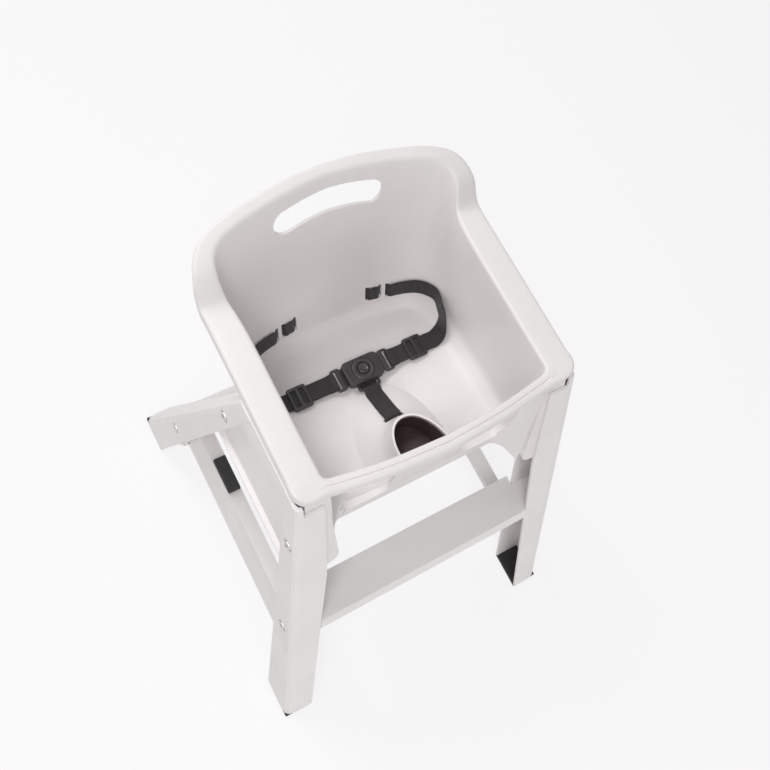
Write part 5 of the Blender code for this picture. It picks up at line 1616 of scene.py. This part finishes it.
class HIGHCHAIR_OT_buckle(bpy.types.Operator):
    """Make the buckle's cover, its base and the loop for the crotch strap"""

    bl_idname = "high_chair.buckle"
    bl_label = "Buckle"

    def execute(self, context):
        plastic = buckle_plastic(context)
        finish_buckle_piece(self.cover(), plastic, "chair", "buckle_cover")
        finish_buckle_piece(self.base(), plastic, "chair", "buckle_base")
        finish_buckle_piece(self.loop(), plastic, "chair")
        return {"FINISHED"}

    def cover(self):
        """The lid, with a round housing for the button and grip grooves beside it."""
        low = drop_z(BUCKLE_DROP) + COVER_GAP
        y = back_y(BUCKLE_BACK)
        middle = Vector((0.0, y, low + COVER_HEIGHT / 2))
        size = (BUCKLE_LENGTH, BUCKLE_WIDTH, COVER_HEIGHT)
        obj = block("detailed_buckle_cover", size, middle, BUCKLE_CORNER, COVER_EDGE)
        foot = (0.0, y, low + COVER_HEIGHT - HOUSING_SINK)
        combine(obj, turned("housing", HOUSING_PROFILE, foot, BUCKLE_SIDES), "UNION")
        bore = pin_profile(BUTTON_RADIUS + BORE_GAP, 0.0, BORE_LENGTH)
        combine(obj, turned("bore", bore, (0.0, y, low - BORE_START), BUCKLE_SIDES), "DIFFERENCE")
        width, length, depth = GROOVE_SIZE
        for side in (1, -1):
            for step in range(GROOVE_COUNT):
                out = side * (GROOVE_START + GROOVE_PITCH * step)
                place = middle + Vector((out, 0.0, COVER_HEIGHT / 2))
                cut_block(obj, (width, length - GROOVE_SHORTENING * step, depth), place)
        return obj

    def base(self):
        """The lower half, with a bore for the spring and an opening for each tongue."""
        low = drop_z(BUCKLE_DROP) - BASE_HEIGHT
        y = back_y(BUCKLE_BACK)
        size = (BUCKLE_LENGTH, BUCKLE_WIDTH, BASE_HEIGHT)
        middle = (0.0, y, low + BASE_HEIGHT / 2)
        obj = block("detailed_buckle_base", size, middle, BUCKLE_CORNER, BASE_EDGE)
        bore = pin_profile(SPRING_BORE_RADIUS, 0.0, SPRING_BORE_LENGTH)
        combine(obj, turned("bore", bore, (0.0, y, low + SPRING_BORE_FLOOR), BUCKLE_SIDES), "DIFFERENCE")
        for side in (1, -1):
            cut_block(obj, TONGUE_OPENING, (side * (BUCKLE_LENGTH / 2), y, low + BASE_HEIGHT))
        return obj

    def loop(self):
        """The loop on the front of the base that the crotch strap passes through."""
        front = back_y(BUCKLE_BACK) - BUCKLE_WIDTH / 2
        z = drop_z(BUCKLE_DROP) - BASE_HEIGHT + LOOP_RISE
        obj = block("strap_loop", LOOP_SIZE, (0.0, front - LOOP_OUT, z), LOOP_CORNER, LOOP_EDGE)
        cut_block(obj, LOOP_OPENING, (0.0, front - LOOP_OPENING_OUT, z), STRAP_OPENING_CORNER)
        return obj


class HIGHCHAIR_OT_button(bpy.types.Operator):
    """Make the release button and the spring under it"""

    bl_idname = "high_chair.button"
    bl_label = "Button"

    def execute(self, context):
        colour = context.scene.high_chair_harness.button_colour
        glossy = black_plastic("button_plastic", colour, BUTTON_ROUGHNESS)
        finish_buckle_piece(self.button(), glossy, "button", "button")
        self.spring(context)
        return {"FINISHED"}

    def button(self):
        """A dished cap on a hollow skirt."""
        low = drop_z(BUCKLE_DROP) + COVER_GAP
        top = low + COVER_HEIGHT + BUTTON_PROUD
        inner, ceiling = BUTTON_RADIUS - BUTTON_WALL, low + BUTTON_HOLLOW
        profile = [(BUTTON_RADIUS * share, top - drop) for share, drop in BUTTON_TOP_SHARES]
        profile += [(BUTTON_RADIUS, low), (inner, low), (inner, ceiling), (0.0, ceiling)]
        return turned("detailed_button", profile, (0.0, back_y(BUCKLE_BACK), 0.0), BUCKLE_SIDES)

    def spring(self, context):
        """The coil under the button."""
        foot = drop_z(BUCKLE_DROP) - SPRING_FOOT
        curve = bpy.data.curves.new("coil", "CURVE")
        curve.dimensions = "3D"
        curve.bevel_depth = SPRING_WIRE
        curve.bevel_resolution = 2
        curve.use_fill_caps = True
        spline = curve.splines.new("POLY")
        count = SPRING_TURNS * SPRING_STEPS
        spline.points.add(count)
        for index, point in enumerate(spline.points):
            share = index / count
            angle = 2.0 * math.pi * SPRING_TURNS * share
            x = SPRING_RADIUS * math.cos(angle)
            y = back_y(BUCKLE_BACK) + SPRING_RADIUS * math.sin(angle)
            point.co = (x, y, foot + SPRING_HEIGHT * share, 1.0)
        coil = bpy.data.objects.new("detailed_button_spring", curve)
        context.scene.collection.objects.link(coil)
        take_up(coil)
        bpy.ops.object.convert(target="MESH")
        coil = context.object
        smooth(coil, SPRING_SMOOTH_ANGLE)
        dress([coil], plated_steel("spring_steel", context.scene.high_chair_plastic.steel_colour))
        anchor = (0.0, back_y(BUCKLE_BACK), foot - SPRING_WIRE)
        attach(coil, "chair")
        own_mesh(coil)
        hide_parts("button_spring")


class HIGHCHAIR_OT_bolts(bpy.types.Operator):
    """Make the socket-head bolts"""

    bl_idname = "high_chair.bolts"
    bl_label = "Bolts"

    def execute(self, context):
        steel = plated_steel("plated_steel", context.scene.high_chair_plastic.steel_colour)
        for name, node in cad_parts.items():
            if name.startswith("bolt"):
                top, along, length = self.axis(node)
                bolt = self.bolt(f"detailed_{name}", length)
                turn = along.to_track_quat("Z", "Y").to_matrix().to_4x4()
                bolt.data.transform(Matrix.Translation(top) @ turn)
                dress([bolt], steel)
                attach(bolt, "chair")
                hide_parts(name)
        return {"FINISHED"}

    def axis(self, node):
        """The top of a bolt's head, the direction out of it and the bolt's length."""
        places = numpy.array([tuple(corner.co) for corner in node.data.vertices])
        middle = places.mean(axis=0)
        along = numpy.linalg.svd(places - middle)[2][0]
        run = (places - middle) @ along
        apart = numpy.linalg.norm(places - middle - numpy.outer(run, along), axis=1)
        if run[apart.argmax()] < 0.0:
            along, run = -along, -run
        widest = places[apart > apart.max() * HEAD_SHARE].mean(axis=0)
        top = widest + along * (run.max() - (widest - middle) @ along)
        return Vector(top), Vector(along), float(run.max() - run.min())

    def bolt(self, name, length):
        """A bolt along Z with the top of its head at the origin."""
        profile = [(BOLT_HEAD_RADIUS * out, BOLT_HEAD_HEIGHT * up) for out, up in BOLT_HEAD_SHARES]
        profile += [
            (BOLT_RADIUS, -BOLT_HEAD_HEIGHT), (BOLT_RADIUS, -length + BOLT_CHAMFER),
            (BOLT_RADIUS - BOLT_CHAMFER, -length), (0.0, -length),
        ]
        origin = (0.0, 0.0, 0.0)
        obj = turned(name, profile, origin, BOLT_SIDES)
        socket = pin_profile(SOCKET_RADIUS, -SOCKET_DEPTH, SOCKET_OVERRUN)
        combine(obj, turned("socket", socket, origin, SOCKET_SIDES), "DIFFERENCE")
        smooth(obj, PIECE_SMOOTH_ANGLE)
        return obj


OPERATORS = (
    HIGHCHAIR_OT_stage, HIGHCHAIR_OT_tub, HIGHCHAIR_OT_painted_shade, HIGHCHAIR_OT_plastic, HIGHCHAIR_OT_pads,
    HIGHCHAIR_OT_straps, HIGHCHAIR_OT_sliders, HIGHCHAIR_OT_tongues, HIGHCHAIR_OT_buckle,
    HIGHCHAIR_OT_button, HIGHCHAIR_OT_bolts,
)


class HIGHCHAIR_PT_panel(bpy.types.Panel):
    """The steps that dress the chair"""

    bl_idname = "HIGHCHAIR_PT_panel"
    bl_label = "High Chair"
    bl_space_type = "VIEW_3D"
    bl_region_type = "UI"
    bl_category = "High Chair"

    def draw(self, context):
        for operator in OPERATORS:
            self.layout.operator(operator.bl_idname)


def register():
    for kind in (*SETTINGS.values(), *OPERATORS, HIGHCHAIR_PT_panel):
        bpy.utils.register_class(kind)
    for name, kind in SETTINGS.items():
        setattr(bpy.types.Scene, name, bpy.props.PointerProperty(type=kind))


def unregister():
    for name in SETTINGS:
        delattr(bpy.types.Scene, name)
    for kind in reversed((*SETTINGS.values(), *OPERATORS, HIGHCHAIR_PT_panel)):
        bpy.utils.unregister_class(kind)


def main():
    register()
    bpy.ops.high_chair.stage()
    bpy.ops.high_chair.tub()
    bpy.ops.high_chair.liner()
    bpy.ops.high_chair.plastic()
    bpy.ops.high_chair.pads()
    bpy.ops.high_chair.straps()
    bpy.ops.high_chair.sliders()
    bpy.ops.high_chair.tongues()
    bpy.ops.high_chair.buckle()
    bpy.ops.high_chair.button()
    bpy.ops.high_chair.bolts()


if __name__ == "__main__":
    main()
